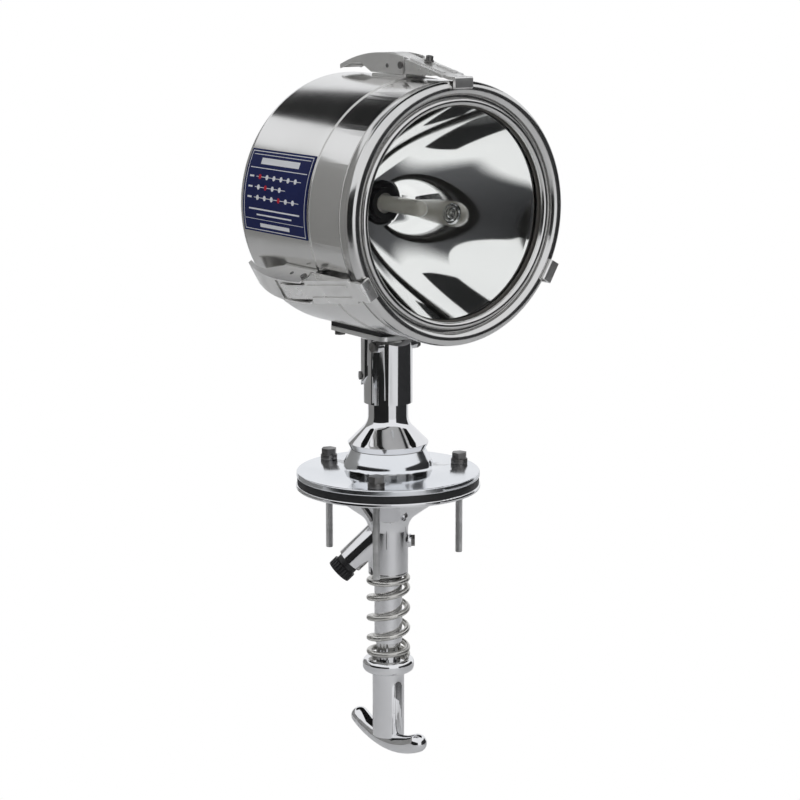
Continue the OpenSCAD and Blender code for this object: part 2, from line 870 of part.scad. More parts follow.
module saddle() {
    color("silver") difference() {
        union() {
            translate([0, 0, plate_z])
                linear_extrude(saddle_t)
                    round_plan(-saddle_w / 2, -saddle_ahead, saddle_w / 2, saddle_back, saddle_corner_r);
            // hinge knuckle, hanging from the plate by its rear half
            translate([-knuckle_w / 2, hinge_y, hinge_z])
                rotate([0, 90, 0])
                    cylinder(r = knuckle_r, h = knuckle_w);
            translate([-knuckle_w / 2, hinge_y, hinge_z])
                cube([knuckle_w, knuckle_r, plate_z - hinge_z + tiny]);
            // slotted lug for the drive pin
            translate([-lug_w / 2, drive_y - lug_r - slot_back, drive_z])
                cube([lug_w, 2 * lug_r + slot_back + slot_slide, plate_z - drive_z + tiny]);
            translate([-lug_w / 2, 0, drive_z])
                rotate([90, 0, 90])
                    linear_extrude(lug_w)
                        round_plan(drive_y - lug_r - slot_back, -lug_r, drive_y + lug_r + slot_slide, lug_r,
                            lug_r - tiny);
        }
        saddle_bolt_holes();
        translate([-20, hinge_y, hinge_z])
            rotate([0, 90, 0])
                cylinder(r = hinge_r + run_gap, h = 40);
        translate([-20, drive_y, drive_z])
            rotate([0, 90, 0]) {
                for (y = [-slot_back, slot_slide])
                    translate([0, y, 0])
                        cylinder(r = drive_r + slot_play, h = 40);
                translate([-drive_r - slot_play, -slot_back, 0])
                    cube([2 * (drive_r + slot_play), slot_back + slot_slide, 40]);
            }
        translate([0, cable_y, plate_z - 1])
            cylinder(r = cable_hole_r + 1, h = saddle_t + 2);
    }
}

module saddle_pads() {
    color("dimgray") difference() {
        for (side = [-1, 1])
            translate([side * pad_x - pad_w / 2, pad_inset - saddle_ahead, plate_top])
                cube([pad_w, saddle_back + saddle_ahead - 2 * pad_inset, pad_h]);
        beam_cylinder(drum_r + pad_gap);
        saddle_bolt_holes();
    }
}

// height where a saddle bolt's nut finds the drum's wall
nut_reach = saddle_bolt_x + saddle_bolt_d / 2 * hex_ratio;
nut_z = beam_z + 0.1 - sqrt(pow(drum_r - drum_wall, 2) - nut_reach * nut_reach);

module saddle_bolts() {
    color("dimgray") at_saddle_bolts() {
        translate([0, 0, plate_z - saddle_head_h])
            hex(saddle_bolt_d / 2 * hex_ratio, saddle_head_h);
        translate([0, 0, plate_z - tiny])
            cylinder(r = saddle_bolt_d / 2, h = nut_z + nut_h + nut_gap - plate_z);
    }
}

module saddle_nuts() {
    color("dimgray") at_saddle_bolts()
        translate([0, 0, nut_z])
            ring_nut();
}

module ring_nut() {
    difference() {
        hex(saddle_bolt_d / 2 * hex_ratio, nut_h);
        translate([0, 0, -1])
            cylinder(r = saddle_bolt_d / 2 + fix_gap, h = nut_h + 2);
    }
}

// the drum's profile out to a radius, with its rear face and corner moved in by a wall
module drum_profile(wall, front) {
    corner = [drum_r - drum_corner_r, drum_corner_r - drum_back];
    band(0, corner[0], wall - drum_back, front);
    band(0, drum_r - wall, corner[1], front);
    translate(corner)
        circle(r = drum_corner_r - wall);
}

module drum_shell() {
    color("silver") difference() {
        on_beam()
            rotate_extrude() difference() {
                drum_profile(0, drum_front);
                drum_profile(drum_wall, drum_front + 1);
            }
        saddle_bolt_holes();
        translate([0, cable_y, plate_z])
            cylinder(r = cable_hole_r, h = 40);
    }
}

module front_barrel() {
    color("silver") on_beam()
        rotate_extrude() {
            band(lap_r - drum_wall, lap_r, drum_front - barrel_lap, drum_front + drum_wall + seam_gap);
            band(barrel_r - drum_wall, barrel_r, drum_front + seam_gap, barrel_front);
            band(lap_r - drum_wall, barrel_r, drum_front + seam_gap, drum_front + seam_gap + drum_wall);
        }
}

module bezel_ring() {
    color("silver") on_beam()
        rotate_extrude() {
            translate([bezel_roll_c, bezel_roll_s])
                circle(r = bezel_roll_r);
            translate([bezel_lip_c, web_s + bezel_lip_r])
                circle(r = bezel_lip_r);
            band(bezel_lip_c, bezel_roll_c, web_s, web_s + web_t);
            band(band_r - band_t, band_r, barrel_front + seam_gap, bezel_roll_s);
            band(spigot_r - spigot_t, spigot_r, barrel_front - spigot_back, bezel_roll_s);
            band(spigot_r - spigot_t, band_r, bezel_roll_s - 4, bezel_roll_s);
        }
}

module front_glass() {
    color("lightblue", 0.4) on_beam()
        translate([0, 0, glass_s])
            cylinder(r = glass_r, h = glass_t);
}

module glass_gasket() {
    color("black") on_beam()
        rotate_extrude() difference() {
            band(gasket_in_r, gasket_out_r, glass_s - gasket_lip_t, web_s);
            band(0, glass_r + fix_gap, glass_s, glass_s + glass_t);
        }
}

function mirror_s(r) = r * r / (4 * focal_len) - vertex_back;

module reflector() {
    face = [for (i = [0 : mirror_steps])
        let (r = mirror_hole_r + (mirror_r - mirror_hole_r) * i / mirror_steps) [r, mirror_s(r)]];
    back = [for (i = [mirror_steps : -1 : 0]) face[i] - [0, mirror_skin]];
    rim = glass_s - gasket_lip_t;
    lip = [[mirror_r, rim], [rim_flange_r, rim], [rim_flange_r, rim - rim_flange_t],
        [mirror_r + rim_flange_t, rim - rim_flange_t],
        [mirror_r + rim_flange_t, mirror_s(mirror_r) - mirror_skin]];
    color("white") on_beam()
        rotate_extrude()
            polygon(concat(face, lip, back));
}

holder_front = mirror_s(mirror_hole_r) - mirror_skin - 0.1;

module lampholder() {
    color("antiquewhite") on_beam() difference() {
        union() {
            translate([0, 0, holder_front - holder_len])
                cylinder(r = holder_r, h = holder_len);
            translate([0, 0, holder_front - holder_flange_t])
                cylinder(r = holder_flange_r, h = holder_flange_t);
            translate([0, 0, holder_front - tiny])
                cylinder(r = holder_snout_r, h = cap_len + 1);
        }
        translate([0, 0, holder_front])
            cylinder(r = cap_r + fix_gap, h = 20);
    }
}

bulb_s = holder_front + cap_len;
bulb_len = glass_s - lamp_gap - bulb_s;

module lamp_cap() {
    color("darkgray") on_beam()
        translate([0, 0, holder_front])
            cylinder(r = cap_r, h = cap_len);
}

module lamp_glass() {
    color("lightblue", 0.4) on_beam()
        translate([0, 0, bulb_s])
            rotate_extrude() difference() {
                union() {
                    band(0, bulb_r, 0, bulb_len - bulb_r);
                    intersection() {
                        translate([0, bulb_len - bulb_r])
                            circle(r = bulb_r);
                        square([bulb_r, bulb_len]);
                    }
                }
                band(0, bulb_r - bulb_wall, -1, bulb_len - bulb_r);
                intersection() {
                    translate([0, bulb_len - bulb_r])
                        circle(r = bulb_r - bulb_wall);
                    square([bulb_r, bulb_len]);
                }
            }
}

module lamp_filament() {
    coil_s = focal_len - vertex_back;
    color("gold") on_beam() {
        for (y = [-lead_y, lead_y])
            translate([0, y, bulb_s])
                cylinder(r = lead_r, h = coil_s - bulb_s);
        translate([0, -coil_len / 2, coil_s])
            rotate([-90, 0, 0])
                cylinder(r = coil_r, h = coil_len);
    }
}

module terminal_block() {
    color("ivory") translate([-terminal[0] / 2, drum_back - drum_wall - terminal[1], beam_z - 60])
        cube(terminal);
}

module cable_grommet() {
    inner_z = beam_z - drum_r + drum_wall + 0.4;
    color("black") difference() {
        union() {
            translate([0, cable_y, beam_z - drum_r - 1])
                cylinder(r = cable_hole_r - fix_gap, h = drum_wall + 3);
            translate([0, cable_y, inner_z])
                cylinder(r = cable_hole_r + 2, h = 2);
        }
        translate([0, cable_y, plate_z])
            cylinder(r = cable_d / 2, h = 40);
    }
}

module latch_base(turn) {
    color("silver") at_latch(turn) difference() {
        union() {
            translate([0, 0, -latch_w / 2 + 0.7])
                linear_extrude(latch_w - 1.4)
                    translate([-base_back, -1])
                        square([base_back + base_ahead, base_t + 1]);
            for (side = [-1, 1])
                translate([0, 0, side * (ear_in + latch_t / 2) - latch_t / 2])
                    linear_extrude(latch_t) {
                        translate([pivot_s, pivot_h])
                            circle(r = ear_r);
                        translate([pivot_s - ear_r, 0])
                            square([2 * ear_r, pivot_h]);
                    }
        }
        latch_drum();
        translate([pivot_s, pivot_h, -latch_w])
            cylinder(r = latch_pin_d / 2 + fix_gap, h = 2 * latch_w);
    }
}

module latch_rivets(turn) {
    color("gray") at_latch(turn)
        for (side = [-1, 1])
            translate([pivot_s, pivot_h, 0])
                mirror([0, 0, side < 0 ? 1 : 0]) {
                    translate([0, 0, ear_in])
                        cylinder(r = latch_pin_d / 2, h = latch_w / 2 - ear_in + 0.3 + tiny);
                    translate([0, 0, latch_w / 2 + 0.3])
                        cylinder(r = latch_pin_d * 0.85, h = 0.9);
                }
}

// the lever's arched outer line as a disc, in a latch's frame
module lever_disc(r) {
    translate([lever_arc_s, latch_h - lever_arc_r])
        circle(r = r);
}

module latch_lever(turn) {
    color("silver") at_latch(turn) difference() {
        union() {
            // the two side plates
            for (side = [-1, 1])
                translate([0, 0, side * (latch_w - latch_t) / 2 - latch_t / 2])
                    linear_extrude(latch_t) intersection() {
                        lever_disc(lever_arc_r);
                        polygon([[lever_tip_s, 3.2], [lever_tip_s + 15, 8.2], [lever_tip_s + 28, 9.2],
                            [lever_tip_s + 43, skirt_h], [pivot_s + 1, skirt_h],
                            [pivot_s + 4.2, pivot_h], [pivot_s + 2, latch_h + 1], [lever_tip_s, latch_h + 1]]);
                    }
            // the web across them, from the finger tab to the claw's root
            translate([0, 0, -latch_w / 2])
                linear_extrude(latch_w) intersection() {
                    difference() {
                        lever_disc(lever_arc_r);
                        lever_disc(lever_arc_r - latch_t - 0.3);
                    }
                    translate([lever_tip_s, 0])
                        square([web_front_s - lever_tip_s, latch_h + 1]);
                }
            // the rolled end of the finger tab
            translate([lever_tip_s + 1.6, latch_h - 12.2, -latch_w / 2])
                cylinder(r = 1.6, h = latch_w);
        }
        translate([pivot_s, pivot_h, -latch_w])
            cylinder(r = latch_pin_d / 2 + run_gap, h = 2 * latch_w);
        translate([claw_pin_s, claw_pin_h, -latch_w])
            cylinder(r = latch_pin_d / 2 + fix_gap, h = 2 * latch_w);
    }
}

module claw_pin(turn) {
    color("gray") at_latch(turn)
        translate([claw_pin_s, claw_pin_h, -latch_w / 2 - 0.4])
            cylinder(r = latch_pin_d / 2, h = latch_w + 0.8);
}

// the strap's height on its outer line: level over the lever, then falling to the bezel's roll
function claw_top(s) = s < claw_hump_s ? claw_h : claw_h - claw_fall * (s - claw_hump_s);

// a rib's side outline between two places, standing proud of the strap
module claw_rib(from, to) {
    polygon([[from, claw_top(from) + rib_h], [to, claw_top(to) + rib_h], [to, claw_top(to) - claw_t / 2],
        [from, claw_top(from) - claw_t / 2]]);
}

module claw_strap(turn) {
    color("gainsboro") at_latch(turn) difference() {
        union() {
            // root, strap and hook in one outline
            translate([0, 0, -claw_w / 2])
                linear_extrude(claw_w)
                    polygon([[claw_pin_s - claw_heel, claw_h], [claw_hump_s, claw_h], [bezel_roll_s, claw_end_h],
                        [hook_s + hook_t - 1, claw_end_h], [hook_s + hook_t, claw_end_h - 1.2],
                        [hook_s + hook_t, 1 - hook_drop], [hook_s + hook_t - 1, -hook_drop],
                        [hook_s, -hook_drop], [hook_s, hook_gap], [bezel_roll_s, hook_gap],
                        [claw_wide_s, claw_top(claw_wide_s) - claw_t], [claw_pin_s + 3, claw_pin_h - 2.4],
                        [claw_pin_s - 2.4, claw_pin_h - 2.4], [claw_pin_s - claw_heel, claw_pin_h + 3]]);
            // its side flanges, which run out towards the bezel
            for (side = [-1, 1])
                translate([0, 0, side * (claw_w - latch_t - flange_inset) / 2 - latch_t / 2])
                    linear_extrude(latch_t)
                        polygon([[claw_wide_s + 0.5, claw_top(claw_wide_s) - claw_t / 2 - 0.5],
                            [claw_wide_s + 0.5, flange_low], [flange_end_s, flange_low],
                            [claw_taper_s - 2, claw_top(claw_taper_s - 2) - claw_t / 2]]);
            // two lengthwise ribs
            for (side = [-1, 1])
                translate([0, 0, side * rib_off - rib_w / 2])
                    linear_extrude(rib_w)
                        claw_rib(claw_wide_s + 2, claw_taper_s - 3);
        }
        // the root is narrow enough for the lever, the hook's end a little narrower than the strap
        for (side = [-1, 1]) {
            translate([claw_wide_s - 100, -50, side * (claw_neck_w / 2 + 10) - 10])
                cube([100, 100, 20]);
            translate([claw_taper_s, -50, side * (claw_end_w / 2 + 10) - 10])
                cube([100, 100, 20]);
        }
        translate([claw_pin_s, claw_pin_h, -latch_w])
            cylinder(r = latch_pin_d / 2 + run_gap, h = 2 * latch_w);
    }
}

deck_flange();
roof_gasket();
ceiling_flange();
flange_bolts();
bolt_washers();
upper_bush();
lower_bush();
thrust_washer();
gland_body();
gland_nut();
gland_seal();
friction_screw();
bell();
mast_tube();
retaining_ring();
sleeve();
sleeve_screw();
tilt_pin();
return_spring();
t_handle();
push_rod();
drive_pin();
saddle();
saddle_pads();
saddle_bolts();
saddle_nuts();
drum_shell();
front_barrel();
bezel_ring();
front_glass();
glass_gasket();
reflector();
lampholder();
lamp_cap();
lamp_glass();
lamp_filament();
terminal_block();
cable_grommet();
for (k = [0 : 2]) {
    latch_base(latch_turns[k]);
    latch_rivets(latch_turns[k]);
    latch_lever(latch_turns[k]);
    claw_pin(latch_turns[k]);
    claw_strap(latch_turns[k]);
}
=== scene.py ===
import json
import math

import bpy
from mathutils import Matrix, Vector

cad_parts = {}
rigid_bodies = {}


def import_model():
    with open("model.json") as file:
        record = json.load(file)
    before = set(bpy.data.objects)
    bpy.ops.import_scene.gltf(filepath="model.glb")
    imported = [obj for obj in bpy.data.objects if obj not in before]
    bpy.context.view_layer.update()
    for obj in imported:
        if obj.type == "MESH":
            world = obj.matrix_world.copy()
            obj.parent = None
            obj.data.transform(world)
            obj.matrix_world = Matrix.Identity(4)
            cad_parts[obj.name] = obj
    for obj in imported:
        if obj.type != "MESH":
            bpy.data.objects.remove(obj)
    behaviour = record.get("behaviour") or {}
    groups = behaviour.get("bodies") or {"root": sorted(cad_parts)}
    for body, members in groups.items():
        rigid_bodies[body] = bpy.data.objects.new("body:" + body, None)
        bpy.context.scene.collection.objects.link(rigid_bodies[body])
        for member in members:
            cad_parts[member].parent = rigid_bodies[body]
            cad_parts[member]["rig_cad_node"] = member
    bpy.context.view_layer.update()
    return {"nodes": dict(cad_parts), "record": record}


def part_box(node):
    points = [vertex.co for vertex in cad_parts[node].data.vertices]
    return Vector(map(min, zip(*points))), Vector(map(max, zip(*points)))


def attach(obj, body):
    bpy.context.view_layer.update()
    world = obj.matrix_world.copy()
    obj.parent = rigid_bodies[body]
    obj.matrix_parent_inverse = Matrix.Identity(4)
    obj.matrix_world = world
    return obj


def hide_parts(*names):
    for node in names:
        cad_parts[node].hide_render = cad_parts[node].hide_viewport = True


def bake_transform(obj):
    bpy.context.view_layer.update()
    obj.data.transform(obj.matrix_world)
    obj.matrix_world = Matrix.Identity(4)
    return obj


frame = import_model()
nodes = frame["nodes"]
bodyOf = {n: b for b, names in frame["record"]["behaviour"]["bodies"].items() for n in names}
slotOf = {row["node"]: row["material_slot"] for row in frame["record"]["subparts"]}
print("frame loaded,", len(nodes), "nodes")

scene = bpy.context.scene
scene.view_settings.view_transform = "Standard"

# lines of the lamp that several pieces share, read from the frame
drumLow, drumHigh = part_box("drum_shell")
beamZ = (drumLow.z + drumHigh.z) / 2
drumR = (drumHigh.x - drumLow.x) / 2


def deselectAll():
    if bpy.context.object and bpy.context.object.mode != "OBJECT":
        bpy.ops.object.mode_set(mode="OBJECT")
    bpy.ops.object.select_all(action="DESELECT")


def pick(piece):
    deselectAll()
    piece.select_set(True)
    bpy.context.view_layer.objects.active = piece


def applyModifiers(piece):
    pick(piece)
    for modifier in list(piece.modifiers):
        bpy.ops.object.modifier_apply(modifier=modifier.name)


def settle(piece):
    pick(piece)
    bpy.ops.object.transform_apply(location=True, rotation=True, scale=True)


# picks vertices or faces by a test, and stays in edit mode
def selectParts(piece, kind, wanted):
    pick(piece)
    bpy.ops.object.mode_set(mode="EDIT")
    bpy.ops.mesh.select_mode(type=kind)
    bpy.ops.mesh.select_all(action="DESELECT")
    bpy.ops.object.mode_set(mode="OBJECT")
    for part in piece.data.vertices if kind == "VERT" else piece.data.polygons:
        part.select = wanted(part)
    bpy.ops.object.mode_set(mode="EDIT")


def addBevel(piece, width, segments, overDeg):
    edge = piece.modifiers.new("easedEdges", "BEVEL")
    edge.width = width
    edge.segments = segments
    edge.limit_method = "ANGLE"
    edge.angle_limit = math.radians(overDeg)


def seat(piece, body, material):
    settle(piece)
    piece.data.materials.clear()
    piece.data.materials.append(material)
    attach(piece, body)
    return piece


def addNode(tree, kind, x, y, **values):
    node = tree.nodes.new(kind)
    node.location = (x, y)
    for name, value in values.items():
        setattr(node, name, value)
    return node


def newGroup(name, inputs, outputs):
    tree = bpy.data.node_groups.new(name, "ShaderNodeTree")
    for title, kind, value in inputs:
        socket = tree.interface.new_socket(name=title, in_out="INPUT", socket_type=kind)
        socket.default_value = value
    for title, kind in outputs:
        tree.interface.new_socket(name=title, in_out="OUTPUT", socket_type=kind)
    start = addNode(tree, "NodeGroupInput", -900, 0)
    end = addNode(tree, "NodeGroupOutput", 700, 0)
    return tree, start, end


# handling marks: broad cloudy smears and small specks, both from 0 to 1
def makeHandlingMarks():
    tree, start, end = newGroup("handlingMarks", [
        ("Smear Scale", "NodeSocketFloat", 18.0),
        ("Speck Scale", "NodeSocketFloat", 900.0)], [
        ("Smear", "NodeSocketFloat"), ("Speck", "NodeSocketFloat")])
    coords = addNode(tree, "ShaderNodeTexCoord", -700, 200)
    smear = addNode(tree, "ShaderNodeTexNoise", -420, 200)
    smear.inputs["Detail"].default_value = 4.0
    smear.inputs["Distortion"].default_value = 0.6
    speck = addNode(tree, "ShaderNodeTexNoise", -420, -120)
    speck.inputs["Detail"].default_value = 2.0
    smearRamp = addNode(tree, "ShaderNodeMapRange", -140, 200)
    smearRamp.inputs["From Min"].default_value = 0.35
    smearRamp.inputs["From Max"].default_value = 0.7
    speckRamp = addNode(tree, "ShaderNodeMapRange", -140, -120)
    speckRamp.inputs["From Min"].default_value = 0.56
    speckRamp.inputs["From Max"].default_value = 0.74
    tree.links.new(coords.outputs["Object"], smear.inputs["Vector"])
    tree.links.new(coords.outputs["Object"], speck.inputs["Vector"])
    tree.links.new(start.outputs["Smear Scale"], smear.inputs["Scale"])
    tree.links.new(start.outputs["Speck Scale"], speck.inputs["Scale"])
    tree.links.new(smear.outputs["Fac"], smearRamp.inputs["Value"])
    tree.links.new(speck.outputs["Fac"], speckRamp.inputs["Value"])
    tree.links.new(smearRamp.outputs["Result"], end.inputs["Smear"])
    tree.links.new(speckRamp.outputs["Result"], end.inputs["Speck"])
    return tree


# polishing lines: noise drawn out along the way the wheel ran; Stretch is the scale on each axis
def makePolishLines():
    tree, start, end = newGroup("polishLines", [
        ("Stretch", "NodeSocketVector", (1.0, 1.0, 1.0))], [
        ("Line", "NodeSocketFloat")])
    coords = addNode(tree, "ShaderNodeTexCoord", -700, 0)
    scaled = addNode(tree, "ShaderNodeVectorMath", -480, 0, operation="MULTIPLY")
    noise = addNode(tree, "ShaderNodeTexNoise", -240, 0)
    noise.inputs["Scale"].default_value = 1.0
    noise.inputs["Detail"].default_value = 3.0
    tree.links.new(coords.outputs["Object"], scaled.inputs[0])
    tree.links.new(start.outputs["Stretch"], scaled.inputs[1])
    tree.links.new(scaled.outputs["Vector"], noise.inputs["Vector"])
    tree.links.new(noise.outputs["Fac"], end.inputs["Line"])
    return tree


# turned lines: rings about the beam, from the distance to the beam's axis and the place along it
def makeTurnedLines():
    tree, start, end = newGroup("turnedLines", [
        ("Radial", "NodeSocketFloat", 0.0), ("Along", "NodeSocketFloat", 900.0)], [
        ("Line", "NodeSocketFloat")])
    coords = addNode(tree, "ShaderNodeTexCoord", -900, -200)
    place = addNode(tree, "ShaderNodeSeparateXYZ", -720, -200)
    rise = addNode(tree, "ShaderNodeMath", -540, -320, operation="SUBTRACT")
    rise.inputs[1].default_value = beamZ
    flat = addNode(tree, "ShaderNodeCombineXYZ", -360, -320)
    length = addNode(tree, "ShaderNodeVectorMath", -180, -320, operation="LENGTH")
    radial = addNode(tree, "ShaderNodeMath", 0, -320, operation="MULTIPLY")
    along = addNode(tree, "ShaderNodeMath", 0, -100, operation="MULTIPLY")
    total = addNode(tree, "ShaderNodeMath", 180, -200, operation="ADD")
    noise = addNode(tree, "ShaderNodeTexNoise", 360, -200, noise_dimensions="1D")
    noise.inputs["Scale"].default_value = 1.0
    noise.inputs["Detail"].default_value = 3.0
    tree.links.new(coords.outputs["Object"], place.inputs["Vector"])
    tree.links.new(place.outputs["Z"], rise.inputs[0])
    tree.links.new(place.outputs["X"], flat.inputs["X"])
    tree.links.new(rise.outputs["Value"], flat.inputs["Z"])
    tree.links.new(flat.outputs["Vector"], length.inputs[0])
    tree.links.new(length.outputs["Value"], radial.inputs[0])
    tree.links.new(start.outputs["Radial"], radial.inputs[1])
    tree.links.new(place.outputs["Y"], along.inputs[0])
    tree.links.new(start.outputs["Along"], along.inputs[1])
    tree.links.new(radial.outputs["Value"], total.inputs[0])
    tree.links.new(along.outputs["Value"], total.inputs[1])
    tree.links.new(total.outputs["Value"], noise.inputs["W"])
    tree.links.new(noise.outputs["Fac"], end.inputs["Line"])
    return tree


handlingMarks = makeHandlingMarks()
polishLines = makePolishLines()
turnedLines = makeTurnedLines()
print("shared surface effects built")


def newMaterial(name):
    material = bpy.data.materials.new(name)
    material.use_nodes = True
    tree = material.node_tree
    tree.nodes.clear()
    end = addNode(tree, "ShaderNodeOutputMaterial", 700, 0)
    skin = addNode(tree, "ShaderNodeBsdfPrincipled", 400, 0)
    tree.links.new(skin.outputs["BSDF"], end.inputs["Surface"])
    return material, tree, skin


def useGroup(tree, group, x, y, **values):
    node = addNode(tree, "ShaderNodeGroup", x, y, node_tree=group)
    for name, value in values.items():
        node.inputs[name.replace("_", " ")].default_value = value
    return node


def mapValue(tree, source, low, high, x, y):
    node = addNode(tree, "ShaderNodeMapRange", x, y)
    node.inputs["To Min"].default_value = low
    node.inputs["To Max"].default_value = high
    tree.links.new(source, node.inputs["Value"])
    return node.outputs["Result"]


def mixColour(tree, factor, first, second, x, y):
    node = addNode(tree, "ShaderNodeMix", x, y, data_type="RGBA")
    node.inputs["A"].default_value = (*first, 1.0)
    node.inputs["B"].default_value = (*second, 1.0)
    tree.links.new(factor, node.inputs["Factor"])
    return node.outputs["Result"]


def bumpFrom(tree, height, strength, depth, x, y):
    node = addNode(tree, "ShaderNodeBump", x, y)
    node.inputs["Strength"].default_value = strength
    node.inputs["Distance"].default_value = depth
    tree.links.new(height, node.inputs["Height"])
    return node.outputs["Normal"]


# bare metal: clean and smeared colour, roughness clean and smeared, polishing lines as bump
def makeMetal(name, clean, dull, smooth, rough, lines=None, turned=None, lineDepth=0.000002,
              smearScale=18.0):
    material, tree, skin = newMaterial(name)
    skin.inputs["Metallic"].default_value = 1.0
    marks = useGroup(tree, handlingMarks, -500, 200, Smear_Scale=smearScale)
    colour = mixColour(tree, marks.outputs["Smear"], clean, dull, 0, 300)
    tree.links.new(colour, skin.inputs["Base Color"])
    roughness = mapValue(tree, marks.outputs["Smear"], smooth, rough, 0, 60)
    tree.links.new(roughness, skin.inputs["Roughness"])
    if turned:
        grain = useGroup(tree, turnedLines, -500, -200, Radial=turned[0], Along=turned[1])
    else:
        grain = useGroup(tree, polishLines, -500, -200, Stretch=lines)
    normal = bumpFrom(tree, grain.outputs["Line"], 0.35, lineDepth, 100, -250)
    tree.links.new(normal, skin.inputs["Normal"])
    return material


# rubber and plastic: dark colour with paler dust in the grain
def makeMoulded(name, dark, pale, smooth, rough, grainScale, depth):
    material, tree, skin = newMaterial(name)
    marks = useGroup(tree, handlingMarks, -500, 200, Smear_Scale=30.0, Speck_Scale=grainScale)
    colour = mixColour(tree, marks.outputs["Speck"], dark, pale, 0, 300)
    tree.links.new(colour, skin.inputs["Base Color"])
    roughness = mapValue(tree, marks.outputs["Smear"], smooth, rough, 0, 60)
    tree.links.new(roughness, skin.inputs["Roughness"])
    normal = bumpFrom(tree, marks.outputs["Speck"], 0.3, depth, 100, -250)
    tree.links.new(normal, skin.inputs["Normal"])
    return material


brightSteel = makeMetal("brightSteel", (0.84, 0.84, 0.85), (0.78, 0.78, 0.79), 0.035, 0.075,
                        lines=(40.0, 40.0, 900.0), lineDepth=0.0000006)
drumSteel = makeMetal("drumSteel", (0.80, 0.795, 0.785), (0.74, 0.735, 0.72), 0.13, 0.20,
                      turned=(0.0, 1400.0), lineDepth=0.0000015, smearScale=9.0)
plateSteel = makeMetal("plateSteel", (0.93, 0.93, 0.92), (0.87, 0.87, 0.86), 0.36, 0.46,
                       lines=(700.0, 60.0, 700.0), lineDepth=0.000002)
bezelSteel = makeMetal("bezelSteel", (0.72, 0.715, 0.705), (0.66, 0.655, 0.645), 0.14, 0.22,
                       turned=(1100.0, 1100.0), lineDepth=0.000001)
flangeSteel = makeMetal("flangeSteel", (0.83, 0.845, 0.87), (0.77, 0.79, 0.82), 0.11, 0.17,
                        turned=(0.0, 0.0), lineDepth=0.0000006)  # buffed until no line shows
latchSteel = makeMetal("latchSteel", (0.94, 0.935, 0.92), (0.84, 0.835, 0.82), 0.34, 0.46,
                       lines=(900.0, 60.0, 900.0), lineDepth=0.000003, smearScale=40.0)
clawSteel = makeMetal("clawSteel", (0.92, 0.915, 0.90), (0.80, 0.795, 0.78), 0.26, 0.38,
                      lines=(900.0, 60.0, 900.0), lineDepth=0.000004, smearScale=50.0)
springSteel = makeMetal("springSteel", (0.70, 0.69, 0.66), (0.56, 0.55, 0.52), 0.22, 0.36,
                        lines=(500.0, 500.0, 1800.0), lineDepth=0.000005, smearScale=60.0)
boltSteel = makeMetal("boltSteel", (0.26, 0.255, 0.25), (0.16, 0.155, 0.15), 0.28, 0.45,
                      lines=(900.0, 900.0, 900.0), lineDepth=0.000006, smearScale=120.0)
threadSteel = makeMetal("threadSteel", (0.56, 0.56, 0.555), (0.42, 0.42, 0.415), 0.28, 0.42,
                        lines=(900.0, 900.0, 900.0), lineDepth=0.000004, smearScale=90.0)
rodSteel = makeMetal("rodSteel", (0.72, 0.72, 0.72), (0.62, 0.62, 0.61), 0.12, 0.2,
                     lines=(80.0, 80.0, 2200.0), lineDepth=0.000003)
bushBronze = makeMetal("bushBronze", (0.60, 0.42, 0.20), (0.46, 0.32, 0.15), 0.3, 0.45,
                       lines=(60.0, 60.0, 2500.0), lineDepth=0.000004)
mirrorSilver = makeMetal("mirrorSilver", (0.97, 0.97, 0.97), (0.95, 0.95, 0.95), 0.035, 0.06,
                         turned=(420.0, 0.0), lineDepth=0.0000004)
lampMetal = makeMetal("lampMetal", (0.66, 0.64, 0.60), (0.50, 0.48, 0.45), 0.25, 0.4,
                      lines=(900.0, 300.0, 900.0), lineDepth=0.000005, smearScale=120.0)
blackRubber = makeMoulded("blackRubber", (0.013, 0.013, 0.014), (0.035, 0.035, 0.036),
                          0.42, 0.62, 1600.0, 0.00004)
blackPlastic = makeMoulded("blackPlastic", (0.012, 0.012, 0.013), (0.022, 0.022, 0.023),
                           0.3, 0.45, 1100.0, 0.00002)
greyRubber = makeMoulded("greyRubber", (0.105, 0.098, 0.088), (0.15, 0.142, 0.13),
                         0.32, 0.48, 1600.0, 0.00004)
whiteNylon = makeMoulded("whiteNylon", (0.80, 0.78, 0.72), (0.84, 0.82, 0.77),
                         0.35, 0.5, 900.0, 0.00002)

# the front glass: clear, with a faint greasy film and plain rings moulded in its middle
glassSettings = {"tint": (0.985, 0.995, 0.99), "film": 0.012, "smearScale": 14.0, "index": 1.46,
                 "ringsR": 0.008, "ringCount": 6, "ringTint": (0.62, 0.64, 0.64), "ringRelief": 0.7}


